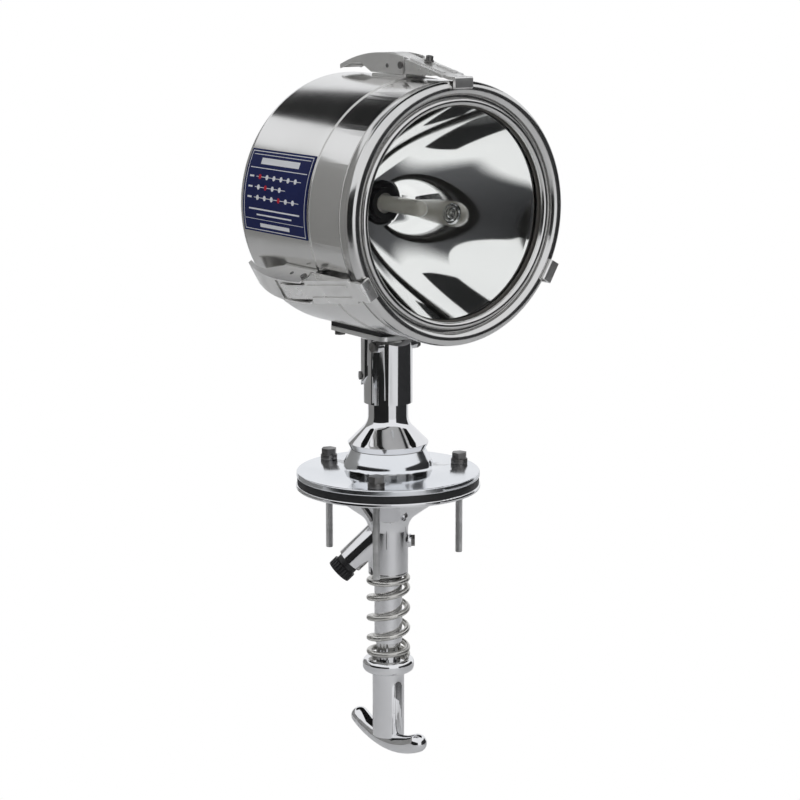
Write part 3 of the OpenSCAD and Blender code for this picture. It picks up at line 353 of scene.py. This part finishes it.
def glassRings(tree, settings):
    coords = addNode(tree, "ShaderNodeTexCoord", -1100, -300)
    away = addNode(tree, "ShaderNodeVectorMath", -920, -300, operation="SUBTRACT")
    away.inputs[1].default_value = (0.0, 0.0, beamZ)
    flat = addNode(tree, "ShaderNodeVectorMath", -740, -300, operation="MULTIPLY")
    flat.inputs[1].default_value = (1.0, 0.0, 1.0)
    length = addNode(tree, "ShaderNodeVectorMath", -560, -300, operation="LENGTH")
    rings = addNode(tree, "ShaderNodeMath", -380, -300, operation="PINGPONG")
    rings.inputs[1].default_value = settings["ringsR"] / settings["ringCount"]
    within = addNode(tree, "ShaderNodeMath", -380, -480, operation="LESS_THAN")
    within.inputs[1].default_value = settings["ringsR"]
    relief = addNode(tree, "ShaderNodeMath", -180, -380, operation="MULTIPLY")
    tree.links.new(coords.outputs["Object"], away.inputs[0])
    tree.links.new(away.outputs["Vector"], flat.inputs[0])
    tree.links.new(flat.outputs["Vector"], length.inputs[0])
    tree.links.new(length.outputs["Value"], rings.inputs[0])
    tree.links.new(length.outputs["Value"], within.inputs[0])
    tree.links.new(rings.outputs["Value"], relief.inputs[0])
    tree.links.new(within.outputs["Value"], relief.inputs[1])
    return within.outputs["Value"], relief.outputs["Value"]


def makeGlass(settings):
    material, tree, skin = newMaterial("frontGlass")
    skin.inputs["Transmission Weight"].default_value = 1.0
    skin.inputs["IOR"].default_value = settings["index"]
    marks = useGroup(tree, handlingMarks, -500, 200, Smear_Scale=settings["smearScale"])
    roughness = mapValue(tree, marks.outputs["Smear"], 0.0, settings["film"], 0, 60)
    tree.links.new(roughness, skin.inputs["Roughness"])
    within, relief = glassRings(tree, settings)
    shade = mixColour(tree, within, settings["tint"], settings["ringTint"], 0, 400)
    tree.links.new(shade, skin.inputs["Base Color"])
    normal = bumpFrom(tree, relief, settings["ringRelief"], 1.0, 100, -250)
    tree.links.new(normal, skin.inputs["Normal"])
    return material


# lamp glass: cream enamel inside a clear skin
lampSettings = {"cream": (0.90, 0.87, 0.77), "pale": (0.94, 0.92, 0.85), "smooth": 0.16, "rough": 0.3,
                "grainScale": 500.0, "depth": 0.00002, "clearRough": 0.05}


def makeLampGlass(settings):
    material = makeMoulded("lampGlass", settings["cream"], settings["pale"], settings["smooth"],
                           settings["rough"], settings["grainScale"], settings["depth"])
    skin = next(n for n in material.node_tree.nodes if n.type == "BSDF_PRINCIPLED")
    skin.inputs["Coat Weight"].default_value = 1.0
    skin.inputs["Coat Roughness"].default_value = settings["clearRough"]
    return material


frontGlass = makeGlass(glassSettings)
bulbGlass = makeLampGlass(lampSettings)
print("finishes built")

finishOf = {
    "drum_steel": drumSteel, "bright_steel": brightSteel, "latch_steel": latchSteel,
    "spring_steel": springSteel, "bolt_steel": boltSteel, "rod_steel": rodSteel,
    "bush_bronze": bushBronze, "washer_nylon": whiteNylon, "black_rubber": blackRubber,
    "black_plastic": blackPlastic, "mirror_silver": mirrorSilver, "front_glass": frontGlass,
    "lamp_cream": bulbGlass, "lamp_metal": lampMetal}

for nodeName, nodeObject in nodes.items():
    nodeObject.data.materials.clear()
    nodeObject.data.materials.append(finishOf[slotOf[nodeName]])

# pieces that stand for nodes: ease is the bevel on sharp edges, and faces that meet at less than
# smoothDeg shade as one
skinSettings = {"merge": 0.000002, "easeSegments": 2, "easeOverDeg": 40, "smoothDeg": 32}
easedPieces = {
    "deck_flange": {"ease": 0.0, "finish": flangeSteel},
    "ceiling_flange": {"ease": 0.0, "finish": brightSteel, "smoothDeg": 26},
    "roof_gasket": {"ease": 0.0006, "finish": blackRubber},
    "bolt_washers": {"ease": 0.0005, "finish": boltSteel},
    "bell": {"ease": 0.0003, "finish": brightSteel},
    "sleeve": {"ease": 0.0, "finish": brightSteel, "smoothDeg": 16},
    "sleeve_screw": {"ease": 0.0004, "finish": boltSteel},
    "mast_tube": {"ease": 0.0, "finish": brightSteel},
    "lower_bush": {"ease": 0.0003, "finish": rodSteel},
    "t_handle": {"ease": 0.0, "finish": brightSteel, "smoothDeg": 46},
    "push_rod": {"ease": 0.0, "finish": rodSteel},
    "gland_body": {"ease": 0.0005, "finish": blackPlastic},
    "gland_nut": {"ease": 0.0, "finish": blackPlastic},
    "saddle": {"ease": 0.0, "finish": plateSteel},
    "drum_shell": {"ease": 0.0, "finish": drumSteel},
    "front_barrel": {"ease": 0.0, "finish": drumSteel},
    "bezel_ring": {"ease": 0.0, "finish": bezelSteel},
    "front_glass": {"ease": 0.0004, "finish": frontGlass},
    "glass_gasket": {"ease": 0.0, "finish": greyRubber},
    "reflector": {"ease": 0.0, "finish": mirrorSilver},
    "lampholder": {"ease": 0.0004, "finish": blackPlastic},
    "lamp_cap": {"ease": 0.0004, "finish": lampMetal},
    "lamp_glass": {"ease": 0.0, "finish": bulbGlass},
    "lamp_filament": {"ease": 0.0, "finish": lampMetal},
    "friction_screw": {"ease": 0.0004, "finish": boltSteel},
    "tilt_pin": {"ease": 0.0004, "finish": boltSteel},
    "flange_bolts": {"ease": 0.0004, "finish": boltSteel},
    "saddle_bolts": {"ease": 0.0004, "finish": boltSteel},
    "saddle_pads": {"ease": 0.0, "finish": blackRubber},
}
for side in ("top", "right", "left"):
    easedPieces["latch_base_" + side] = {"ease": 0.0003, "finish": latchSteel}
    easedPieces["latch_lever_" + side] = {"ease": 0.0003, "finish": latchSteel}
    easedPieces["claw_strap_" + side] = {"ease": 0.0009, "finish": clawSteel}
    easedPieces["latch_rivets_" + side] = {"ease": 0.0002, "finish": boltSteel}
    easedPieces["claw_pin_" + side] = {"ease": 0.0002, "finish": boltSteel}


def smoothCopy(nodeName, settings):
    pick(nodes[nodeName])
    bpy.ops.object.duplicate()
    piece = bpy.context.object
    piece.name = nodeName + "_skin"
    del piece["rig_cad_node"]
    bpy.ops.object.parent_clear(type="CLEAR_KEEP_TRANSFORM")
    bpy.ops.object.mode_set(mode="EDIT")
    bpy.ops.mesh.select_all(action="SELECT")
    bpy.ops.mesh.remove_doubles(threshold=skinSettings["merge"])
    bpy.ops.object.mode_set(mode="OBJECT")
    if settings["ease"]:
        addBevel(piece, settings["ease"], skinSettings["easeSegments"], skinSettings["easeOverDeg"])
    applyModifiers(piece)
    smoothDeg = settings.get("smoothDeg", skinSettings["smoothDeg"])
    bpy.ops.object.shade_smooth_by_angle(angle=math.radians(smoothDeg))
    facing = piece.modifiers.new("facing", "WEIGHTED_NORMAL")
    facing.mode = "FACE_AREA_WITH_ANGLE"
    facing.keep_sharp = True
    applyModifiers(piece)
    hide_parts(nodeName)
    return piece


def easedCopy(nodeName, settings):
    piece = smoothCopy(nodeName, settings)
    return seat(piece, bodyOf[nodeName], settings["finish"])


skins = {name: easedCopy(name, settings) for name, settings in easedPieces.items()}
print("eased copies made:", len(skins))

# flange bolts: their rods become thin cores, and each gets a screw thread round it
boltHoles = next(m for m in frame["record"]["mounts"] if m["name"] == "roof_bolts")["dims"]
threadSettings = {
    "firstDeg": 106.4, "pitch": 0.001, "depth": 0.00042, "top": -0.0039, "steps": 24, "smoothDeg": 30,
    "crestR": boltHoles["stud_r_mm"] / 1000, "circleR": boltHoles["pcd_mm"] / 2000,
    "foot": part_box("flange_bolts")[0].z}


def boltPlaces(settings):
    count = boltHoles["count"]
    reach = settings["circleR"]
    turns = [math.radians(settings["firstDeg"] + 360 * index / count) for index in range(count)]
    return [(reach * math.cos(turn), reach * math.sin(turn)) for turn in turns]


def thinCores(piece, settings):
    thin = 1 - settings["depth"] / settings["crestR"]
    reach = 2 * settings["crestR"]
    for place in boltPlaces(settings):
        selectParts(piece, "VERT",
                    lambda v: v.co.z < settings["top"] and math.dist(v.co.xy, place) < reach)
        bpy.ops.transform.resize(value=(thin, thin, 1.0), center_override=(*place, 0.0))
        bpy.ops.object.mode_set(mode="OBJECT")


# one corner of a plane, drawn out into a groove's profile and screwed up the rod
def makeThread(settings):
    pitch = settings["pitch"]
    deselectAll()
    corner = (settings["crestR"] + pitch / 2, pitch / 2, 0)
    bpy.ops.mesh.primitive_plane_add(size=pitch, location=corner)
    piece = bpy.context.object
    settle(piece)
    selectParts(piece, "VERT", lambda v: v.index > 0)
    bpy.ops.mesh.delete(type="VERT")
    bpy.ops.mesh.select_all(action="SELECT")
    for step in (-settings["depth"], settings["depth"]):
        bpy.ops.mesh.extrude_vertices_move(TRANSFORM_OT_translate={"value": (step, 0, pitch / 2)})
    bpy.ops.object.mode_set(mode="OBJECT")
    helix = piece.modifiers.new("helix", "SCREW")
    helix.screw_offset = pitch
    helix.iterations = int((settings["top"] - settings["foot"]) / pitch) - 1
    helix.steps = settings["steps"]
    helix.render_steps = settings["steps"]
    helix.use_merge_vertices = True
    helix.merge_threshold = skinSettings["merge"] / 2
    helix.use_normal_flip = True  # faces point out of the rod
    applyModifiers(piece)
    bpy.ops.object.mode_set(mode="EDIT")
    bpy.ops.mesh.select_all(action="SELECT")
    bpy.ops.mesh.remove_doubles(threshold=skinSettings["merge"])
    bpy.ops.mesh.fill_holes(sides=0)  # the two ends, fanned below
    bpy.ops.mesh.select_mode(type="FACE")
    bpy.ops.mesh.select_all(action="DESELECT")
    bpy.ops.mesh.select_face_by_sides(number=4, type="GREATER")
    bpy.ops.mesh.poke()
    bpy.ops.object.mode_set(mode="OBJECT")
    bpy.ops.object.shade_smooth_by_angle(angle=math.radians(settings["smoothDeg"]))
    return piece


def placeThreads(thread, settings):
    for number, place in enumerate(boltPlaces(settings), 1):
        pick(thread)
        bpy.ops.object.duplicate()
        copy = bpy.context.object
        copy.name = "bolt_thread_" + str(number)
        copy.location = (*place, settings["foot"])
        seat(copy, "base", threadSteel)
    bpy.data.objects.remove(thread)


thinCores(skins["flange_bolts"], threadSettings)
placeThreads(makeThread(threadSettings), threadSettings)
print("bolt rods threaded")

# return spring: the node's wire rounded off by one subdivision
springSettings = {"rounds": 1, "swell": 0.00014, "endTurn": 0.0046}


def makeSpring(settings):
    piece = smoothCopy("return_spring", {"ease": 0.0})
    rounding = piece.modifiers.new("roundWire", "SUBSURF")
    rounding.levels = settings["rounds"]
    rounding.render_levels = settings["rounds"]
    swell = piece.modifiers.new("fullWire", "DISPLACE")
    swell.strength = settings["swell"]
    swell.mid_level = 0.0
    applyModifiers(piece)
    bpy.ops.object.shade_smooth()
    settle(piece)
    piece.data.materials.clear()
    piece.data.materials.append(springSteel)
    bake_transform(piece)
    return piece


makeSpring(springSettings)
print("spring rounded")

# stud on the top strap: a turned head with a round recess, on a thin shoulder
studSettings = {
    "ahead": 0.048, "lift": 0.0125, "side": 0.0048, "leanDeg": 11.6,
    "headR": 0.0029, "headH": 0.0032, "shoulderR": 0.0038, "shoulderH": 0.0012,
    "recessRim": 0.35, "recessDepth": 0.35,  # shares of the head's radius and height
    "softEdge": 0.0003, "softSegments": 2, "softOverDeg": 30, "smoothDeg": 35, "sides": 48}


def makeStrapStud(settings):
    deselectAll()
    bpy.ops.mesh.primitive_cylinder_add(
        vertices=settings["sides"], radius=settings["shoulderR"], depth=settings["shoulderH"])
    piece = bpy.context.object
    piece.name = "strap_stud_top"
    selectParts(piece, "FACE", lambda f: f.normal.z > 0.9)
    recess = settings["headH"] * settings["recessDepth"]
    bpy.ops.mesh.inset(thickness=settings["shoulderR"] - settings["headR"])
    bpy.ops.mesh.extrude_region_move(TRANSFORM_OT_translate={"value": (0, 0, settings["headH"])})
    bpy.ops.mesh.inset(thickness=settings["headR"] * settings["recessRim"])
    bpy.ops.mesh.extrude_region_move(TRANSFORM_OT_translate={"value": (0, 0, -recess)})
    bpy.ops.object.mode_set(mode="OBJECT")
    addBevel(piece, settings["softEdge"], settings["softSegments"], settings["softOverDeg"])
    applyModifiers(piece)
    bpy.ops.object.shade_smooth_by_angle(angle=math.radians(settings["smoothDeg"]))
    piece.rotation_euler = (math.radians(settings["leanDeg"]), 0, 0)
    piece.location = (settings["side"], -settings["ahead"], beamZ + drumR + settings["lift"])
    return seat(piece, "claw_top", boltSteel)


makeStrapStud(studSettings)
print("strap stud made")

# blue plate on the drum's side: bare field, white border and bars, rows of plain dots
plateSettings = {
    "lowDeg": -10.8, "highDeg": 26.5, "front": -0.0368, "back": 0.0528, "sides": 480,
    "thickness": 0.0004, "stand": 0.00015, "smoothDeg": 35,
    "softEdge": 0.00012, "softSegments": 1, "softOverDeg": 30,
    "field": (0.006, 0.012, 0.085), "smeared": (0.009, 0.017, 0.10), "smearScale": 40.0,
    "white": (0.86, 0.87, 0.90), "red": (0.55, 0.02, 0.04),
    "sheen": 0.18, "smooth": 0.4, "rough": 0.52,
    # from here in millimetres; a bar has its top, its foot and its distance from both ends
    "border": (2.0, 2.6),
    "bars": ((4.6, 5.1, 5.0), (7.2, 12.2, 18.0), (15.0, 15.6, 5.0), (46.2, 47.4, 9.0),
             (50.4, 51.6, 20.0), (54.4, 54.8, 4.0), (57.4, 60.4, 24.0)),
    # a row has its level, where its dots end and where its red dot is
    "rows": ((22.0, 76.0, 21.0), (30.0, 56.0, 31.0), (38.0, 76.0, 51.0)),
    "dotStart": 16.0, "dotStep": 10.0, "dotR": 2.0, "lineHalf": 0.25, "lineOver": 3.0,
    "rowBar": (6.5, 12.5), "rowBarHalf": 0.7}


# one step of arithmetic in a material, laid out in rows of twelve
def calc(tree, operation, first, second=None):
    row, column = divmod(len(tree.nodes), 12)
    node = addNode(tree, "ShaderNodeMath", 180 * column - 3000, -180 * row, operation=operation)
    for socket, value in zip(node.inputs, (first, second)):
        if isinstance(value, float):
            socket.default_value = value
        elif value is not None:
            tree.links.new(value, socket)
    return node.outputs["Value"]


# 1 between two values, 0 elsewhere
def stripe(tree, value, low, high):
    over = calc(tree, "GREATER_THAN", value, low)
    under = calc(tree, "LESS_THAN", value, high)
    return calc(tree, "MULTIPLY", over, under)


# 1 inside a rectangle of the plate
def patch(tree, place, along, down):
    return calc(tree, "MULTIPLY", stripe(tree, place[0], *along), stripe(tree, place[1], *down))


# places run along the plate from its rear edge and down from its top edge, in millimetres
def plateCoords(tree, settings):
    coords = addNode(tree, "ShaderNodeTexCoord", -3400, 0)
    place = addNode(tree, "ShaderNodeSeparateXYZ", -3200, 0)
    tree.links.new(coords.outputs["Object"], place.inputs["Vector"])
    ahead = calc(tree, "SUBTRACT", settings["back"], place.outputs["Y"])
    rise = calc(tree, "SUBTRACT", place.outputs["Z"], beamZ)
    out = calc(tree, "MULTIPLY", place.outputs["X"], -1.0)
    turn = calc(tree, "ARCTAN2", rise, out)
    down = calc(tree, "SUBTRACT", math.radians(settings["highDeg"]), turn)
    return calc(tree, "MULTIPLY", ahead, 1000.0), calc(tree, "MULTIPLY", down, drumR * 1000)


def borderAndBars(tree, place, settings):
    width = (settings["back"] - settings["front"]) * 1000
    height = math.radians(settings["highDeg"] - settings["lowDeg"]) * drumR * 1000
    outer, inner = [patch(tree, place, (edge, width - edge), (edge, height - edge))
                    for edge in settings["border"]]
    white = calc(tree, "SUBTRACT", outer, inner)
    for top, foot, inset in settings["bars"]:
        bar = patch(tree, place, (inset, width - inset), (top, foot))
        white = calc(tree, "MAXIMUM", white, bar)
    return white


# dots on a thin line behind a short bar, and the one dot that is red
def dotRow(tree, place, settings, level, last, mark):
    first, step = settings["dotStart"], settings["dotStep"]
    count = calc(tree, "DIVIDE", calc(tree, "SUBTRACT", place[0], first), step)
    cell = calc(tree, "SUBTRACT", calc(tree, "FRACT", count), 0.5)
    across = calc(tree, "MULTIPLY", cell, step)
    down = calc(tree, "SUBTRACT", place[1], level)
    spread = calc(tree, "ADD", calc(tree, "MULTIPLY", across, across), calc(tree, "MULTIPLY", down, down))
    disc = calc(tree, "LESS_THAN", spread, settings["dotR"] ** 2)
    dots = calc(tree, "MULTIPLY", disc, stripe(tree, place[0], first, last))
    red = calc(tree, "MULTIPLY", dots, stripe(tree, place[0], mark - step / 2, mark + step / 2))
    half = settings["lineHalf"]
    line = patch(tree, place, (first, last + settings["lineOver"]), (level - half, level + half))
    half = settings["rowBarHalf"]
    bar = patch(tree, place, settings["rowBar"], (level - half, level + half))
    return calc(tree, "MAXIMUM", dots, calc(tree, "MAXIMUM", line, bar)), red


def overlay(tree, mask, under, colour, x, y):
    node = addNode(tree, "ShaderNodeMix", x, y, data_type="RGBA")
    node.inputs["B"].default_value = (*colour, 1.0)
    tree.links.new(mask, node.inputs["Factor"])
    tree.links.new(under, node.inputs["A"])
    return node.outputs["Result"]


def makePlateFinish(settings):
    material, tree, skin = newMaterial("bluePlate")
    place = plateCoords(tree, settings)
    marks = useGroup(tree, handlingMarks, -600, 400, Smear_Scale=settings["smearScale"])
    smear = marks.outputs["Smear"]
    paint = mixColour(tree, smear, settings["field"], settings["smeared"], -400, 400)
    paint = overlay(tree, borderAndBars(tree, place, settings), paint, settings["white"], -200, 400)
    rows = [dotRow(tree, place, settings, *row) for row in settings["rows"]]
    for index, (white, red) in enumerate(rows):
        paint = overlay(tree, white, paint, settings["white"], 400 * index, 400)
        paint = overlay(tree, red, paint, settings["red"], 400 * index + 200, 400)
    tree.links.new(paint, skin.inputs["Base Color"])
    roughness = mapValue(tree, smear, settings["smooth"], settings["rough"], 0, 100)
    tree.links.new(roughness, skin.inputs["Roughness"])
    skin.inputs["Specular IOR Level"].default_value = settings["sheen"]
    return material


# degrees about the beam, up from the drum's left side
def leftTurn(point):
    return math.degrees(math.atan2(point.z - beamZ, -point.x))


def makePlate(settings):
    deselectAll()
    bpy.ops.mesh.primitive_cylinder_add(
        vertices=settings["sides"], radius=drumR + settings["stand"], end_fill_type="NOTHING",
        depth=settings["back"] - settings["front"], rotation=(math.radians(90), 0, 0),
        location=(0, (settings["front"] + settings["back"]) / 2, beamZ))
    piece = bpy.context.object
    piece.name = "blue_plate"
    settle(piece)
    low, high = settings["lowDeg"], settings["highDeg"]
    selectParts(piece, "FACE", lambda f: not low < leftTurn(f.center) < high)
    bpy.ops.mesh.delete(type="FACE")
    bpy.ops.mesh.select_all(action="SELECT")
    bpy.ops.mesh.normals_make_consistent(inside=False)
    bpy.ops.object.mode_set(mode="OBJECT")
    wall = piece.modifiers.new("sheet", "SOLIDIFY")
    wall.thickness = settings["thickness"]
    wall.offset = 1.0
    addBevel(piece, settings["softEdge"], settings["softSegments"], settings["softOverDeg"])
    applyModifiers(piece)
    bpy.ops.object.shade_smooth_by_angle(angle=math.radians(settings["smoothDeg"]))
    return seat(piece, "head", makePlateFinish(settings))


makePlate(plateSettings)
print("plate on the drum made")

# studio: pale floor, white surround, dark and grey cards that the polished metal mirrors
studioSettings = {
    "floorDrop": 0.75, "floorSize": 14.0, "floorShade": 0.9, "matt": 0.9,
    "surround": 0.92, "surroundTint": (0.97, 0.98, 1.0), "cardR": 2.6, "cameraTurn": 234.7}
# cards stand round the lamp, at degrees from the camera's side; only the mirror behind glass shows the third
cardSettings = {
    "darkLeftCard": {"deg": (-88.0, 4.0), "z": (-1.6, 1.0), "colour": (0.03, 0.03, 0.03)},
    "greySideCard": {"deg": (46.0, 133.0), "z": (-1.6, 1.1), "colour": (0.06, 0.06, 0.062)},
    "mirrorCard": {"deg": (12.0, 88.0), "z": (-1.6, 2.1), "colour": (0.21, 0.21, 0.215),
                   "fadeTo": (0.008, 0.008, 0.009), "edges": {"X": 0.24, "Y": 0.15}},
    "paleLeftCard": {"deg": (-152.0, -88.0), "z": (-1.6, 1.3), "colour": (0.52, 0.515, 0.50)}}
ceilingSettings = {"place": (0.8, 1.1, 1.75), "scale": (3.4, 2.2, 1.0), "turnDeg": -35,
                   "colour": (0.02, 0.02, 0.02)}


def plainMaterial(name, colour):
    material, tree, skin = newMaterial(name)
    skin.inputs["Base Color"].default_value = (*colour, 1.0)
    skin.inputs["Roughness"].default_value = studioSettings["matt"]
    skin.inputs["Specular IOR Level"].default_value = 0.0
    return material


# a plane that the metal mirrors and the camera doesn't see
def addCard(name, place, rotation, scale, colour):
    deselectAll()
    bpy.ops.mesh.primitive_plane_add(size=1.0, location=place, rotation=rotation)
    card = bpy.context.object
    card.name = name
    card.scale = scale
    card.data.materials.append(plainMaterial(name + "Face", colour))
    card.visible_camera = False
    return card


def standCard(name, settings):
    fromDeg, toDeg = settings["deg"]
    low, high = settings["z"]
    reach = studioSettings["cardR"]
    half = math.radians(toDeg - fromDeg) / 2
    turn = math.radians(studioSettings["cameraTurn"] + (fromDeg + toDeg) / 2)
    place = (reach * math.cos(turn), reach * math.sin(turn), (low + high) / 2)
    rotation = (math.radians(90), 0, turn + math.radians(90))
    scale = (2 * reach * math.tan(half), high - low, 1.0)
    card = addCard(name, place, rotation, scale, settings["colour"])
    if "fadeTo" in settings:
        card.visible_glossy = False
        card.visible_diffuse = False
        fadeCard(card, settings)


# colour runs from one side of the card to the other, and its edges melt away
def fadeCard(card, settings):
    tree = card.data.materials[0].node_tree
    coords = addNode(tree, "ShaderNodeTexCoord", -800, 0)
    across = addNode(tree, "ShaderNodeSeparateXYZ", -600, 0)
    tree.links.new(coords.outputs["UV"], across.inputs["Vector"])
    skin = next(n for n in tree.nodes if n.type == "BSDF_PRINCIPLED")
    shade = mixColour(tree, across.outputs["X"], settings["colour"], settings["fadeTo"], 100, 0)
    tree.links.new(shade, skin.inputs["Base Color"])
    solid = addNode(tree, "ShaderNodeMath", 100, -300, operation="MULTIPLY")
    for index, (name, edge) in enumerate(settings["edges"].items()):
        y = -200 - 300 * index
        inward = addNode(tree, "ShaderNodeMath", -400, y, operation="PINGPONG")
        inward.inputs[1].default_value = 0.5
        melt = addNode(tree, "ShaderNodeMapRange", -200, y, interpolation_type="SMOOTHSTEP")
        melt.inputs["From Max"].default_value = edge
        tree.links.new(across.outputs[name], inward.inputs[0])
        tree.links.new(inward.outputs["Value"], melt.inputs["Value"])
        tree.links.new(melt.outputs["Result"], solid.inputs[index])
    tree.links.new(solid.outputs["Value"], skin.inputs["Alpha"])


# 1 where the camera sees a surface straight or through glass
def seenRays(tree, x, y):
    light = addNode(tree, "ShaderNodeLightPath", x, y)
    either = addNode(tree, "ShaderNodeMath", x + 180, y, operation="MAXIMUM")
    tree.links.new(light.outputs["Is Camera Ray"], either.inputs[0])
    tree.links.new(light.outputs["Is Transmission Ray"], either.inputs[1])
    return either.outputs["Value"]


def makeFloor(settings):
    deselectAll()
    bpy.ops.mesh.primitive_plane_add(size=settings["floorSize"], location=(0, 0, -settings["floorDrop"]))
    floor = bpy.context.object
    floor.name = "floor"
    material, tree, skin = newMaterial("paleFloor")
    shade = settings["floorShade"]
    skin.inputs["Base Color"].default_value = (shade, shade, shade, 1.0)
    skin.inputs["Roughness"].default_value = settings["matt"]
    white = addNode(tree, "ShaderNodeEmission", 400, -300)
    mix = addNode(tree, "ShaderNodeMixShader", 700, -100)
    end = next(n for n in tree.nodes if n.type == "OUTPUT_MATERIAL")
    end.location = (950, 0)
    tree.links.new(seenRays(tree, 0, 300), mix.inputs["Fac"])
    tree.links.new(skin.outputs["BSDF"], mix.inputs[1])
    tree.links.new(white.outputs["Emission"], mix.inputs[2])
    tree.links.new(mix.outputs["Shader"], end.inputs["Surface"])
    floor.data.materials.append(material)


def makeSurround(settings):
    world = bpy.data.worlds.new("studio")
    scene.world = world
    world.use_nodes = True
    tree = world.node_tree
    tree.nodes.clear()
    end = addNode(tree, "ShaderNodeOutputWorld", 600, 0)
    seen = addNode(tree, "ShaderNodeBackground", 200, 150)
    seen.inputs["Color"].default_value = (1.0, 1.0, 1.0, 1.0)
    fill = addNode(tree, "ShaderNodeBackground", 200, -50)
    fill.inputs["Color"].default_value = (*settings["surroundTint"], 1.0)
    fill.inputs["Strength"].default_value = settings["surround"]
    mix = addNode(tree, "ShaderNodeMixShader", 420, 50)
    tree.links.new(seenRays(tree, -200, 300), mix.inputs["Fac"])
    tree.links.new(fill.outputs["Background"], mix.inputs[1])
    tree.links.new(seen.outputs["Background"], mix.inputs[2])
    tree.links.new(mix.outputs["Shader"], end.inputs["Surface"])


makeFloor(studioSettings)
for cardName, settings in cardSettings.items():
    standCard(cardName, settings)
addCard("darkCeilingCard", ceilingSettings["place"], (0, 0, math.radians(ceilingSettings["turnDeg"])),
        ceilingSettings["scale"], ceilingSettings["colour"])
makeSurround(studioSettings)
print("studio set")

cameraSettings = {"place": (-1.0012, -1.4305, 0.4205), "turnDeg": -35.30, "pitchDeg": 11.44,
                  "lens": 100.5, "sensor": 36.0, "near": 0.05, "far": 60.0}


def makeCamera(settings):
    deselectAll()
    lean = math.radians(90 - settings["pitchDeg"])
    turn = math.radians(settings["turnDeg"])
    bpy.ops.object.camera_add(location=settings["place"], rotation=(lean, 0, turn))
    camera = bpy.context.object
    camera.name = "photoCamera"
    camera.data.sensor_width = settings["sensor"]
    camera.data.lens = settings["lens"]
    camera.data.clip_start = settings["near"]
    camera.data.clip_end = settings["far"]
    scene.camera = camera


makeCamera(cameraSettings)

print("pieces in place")
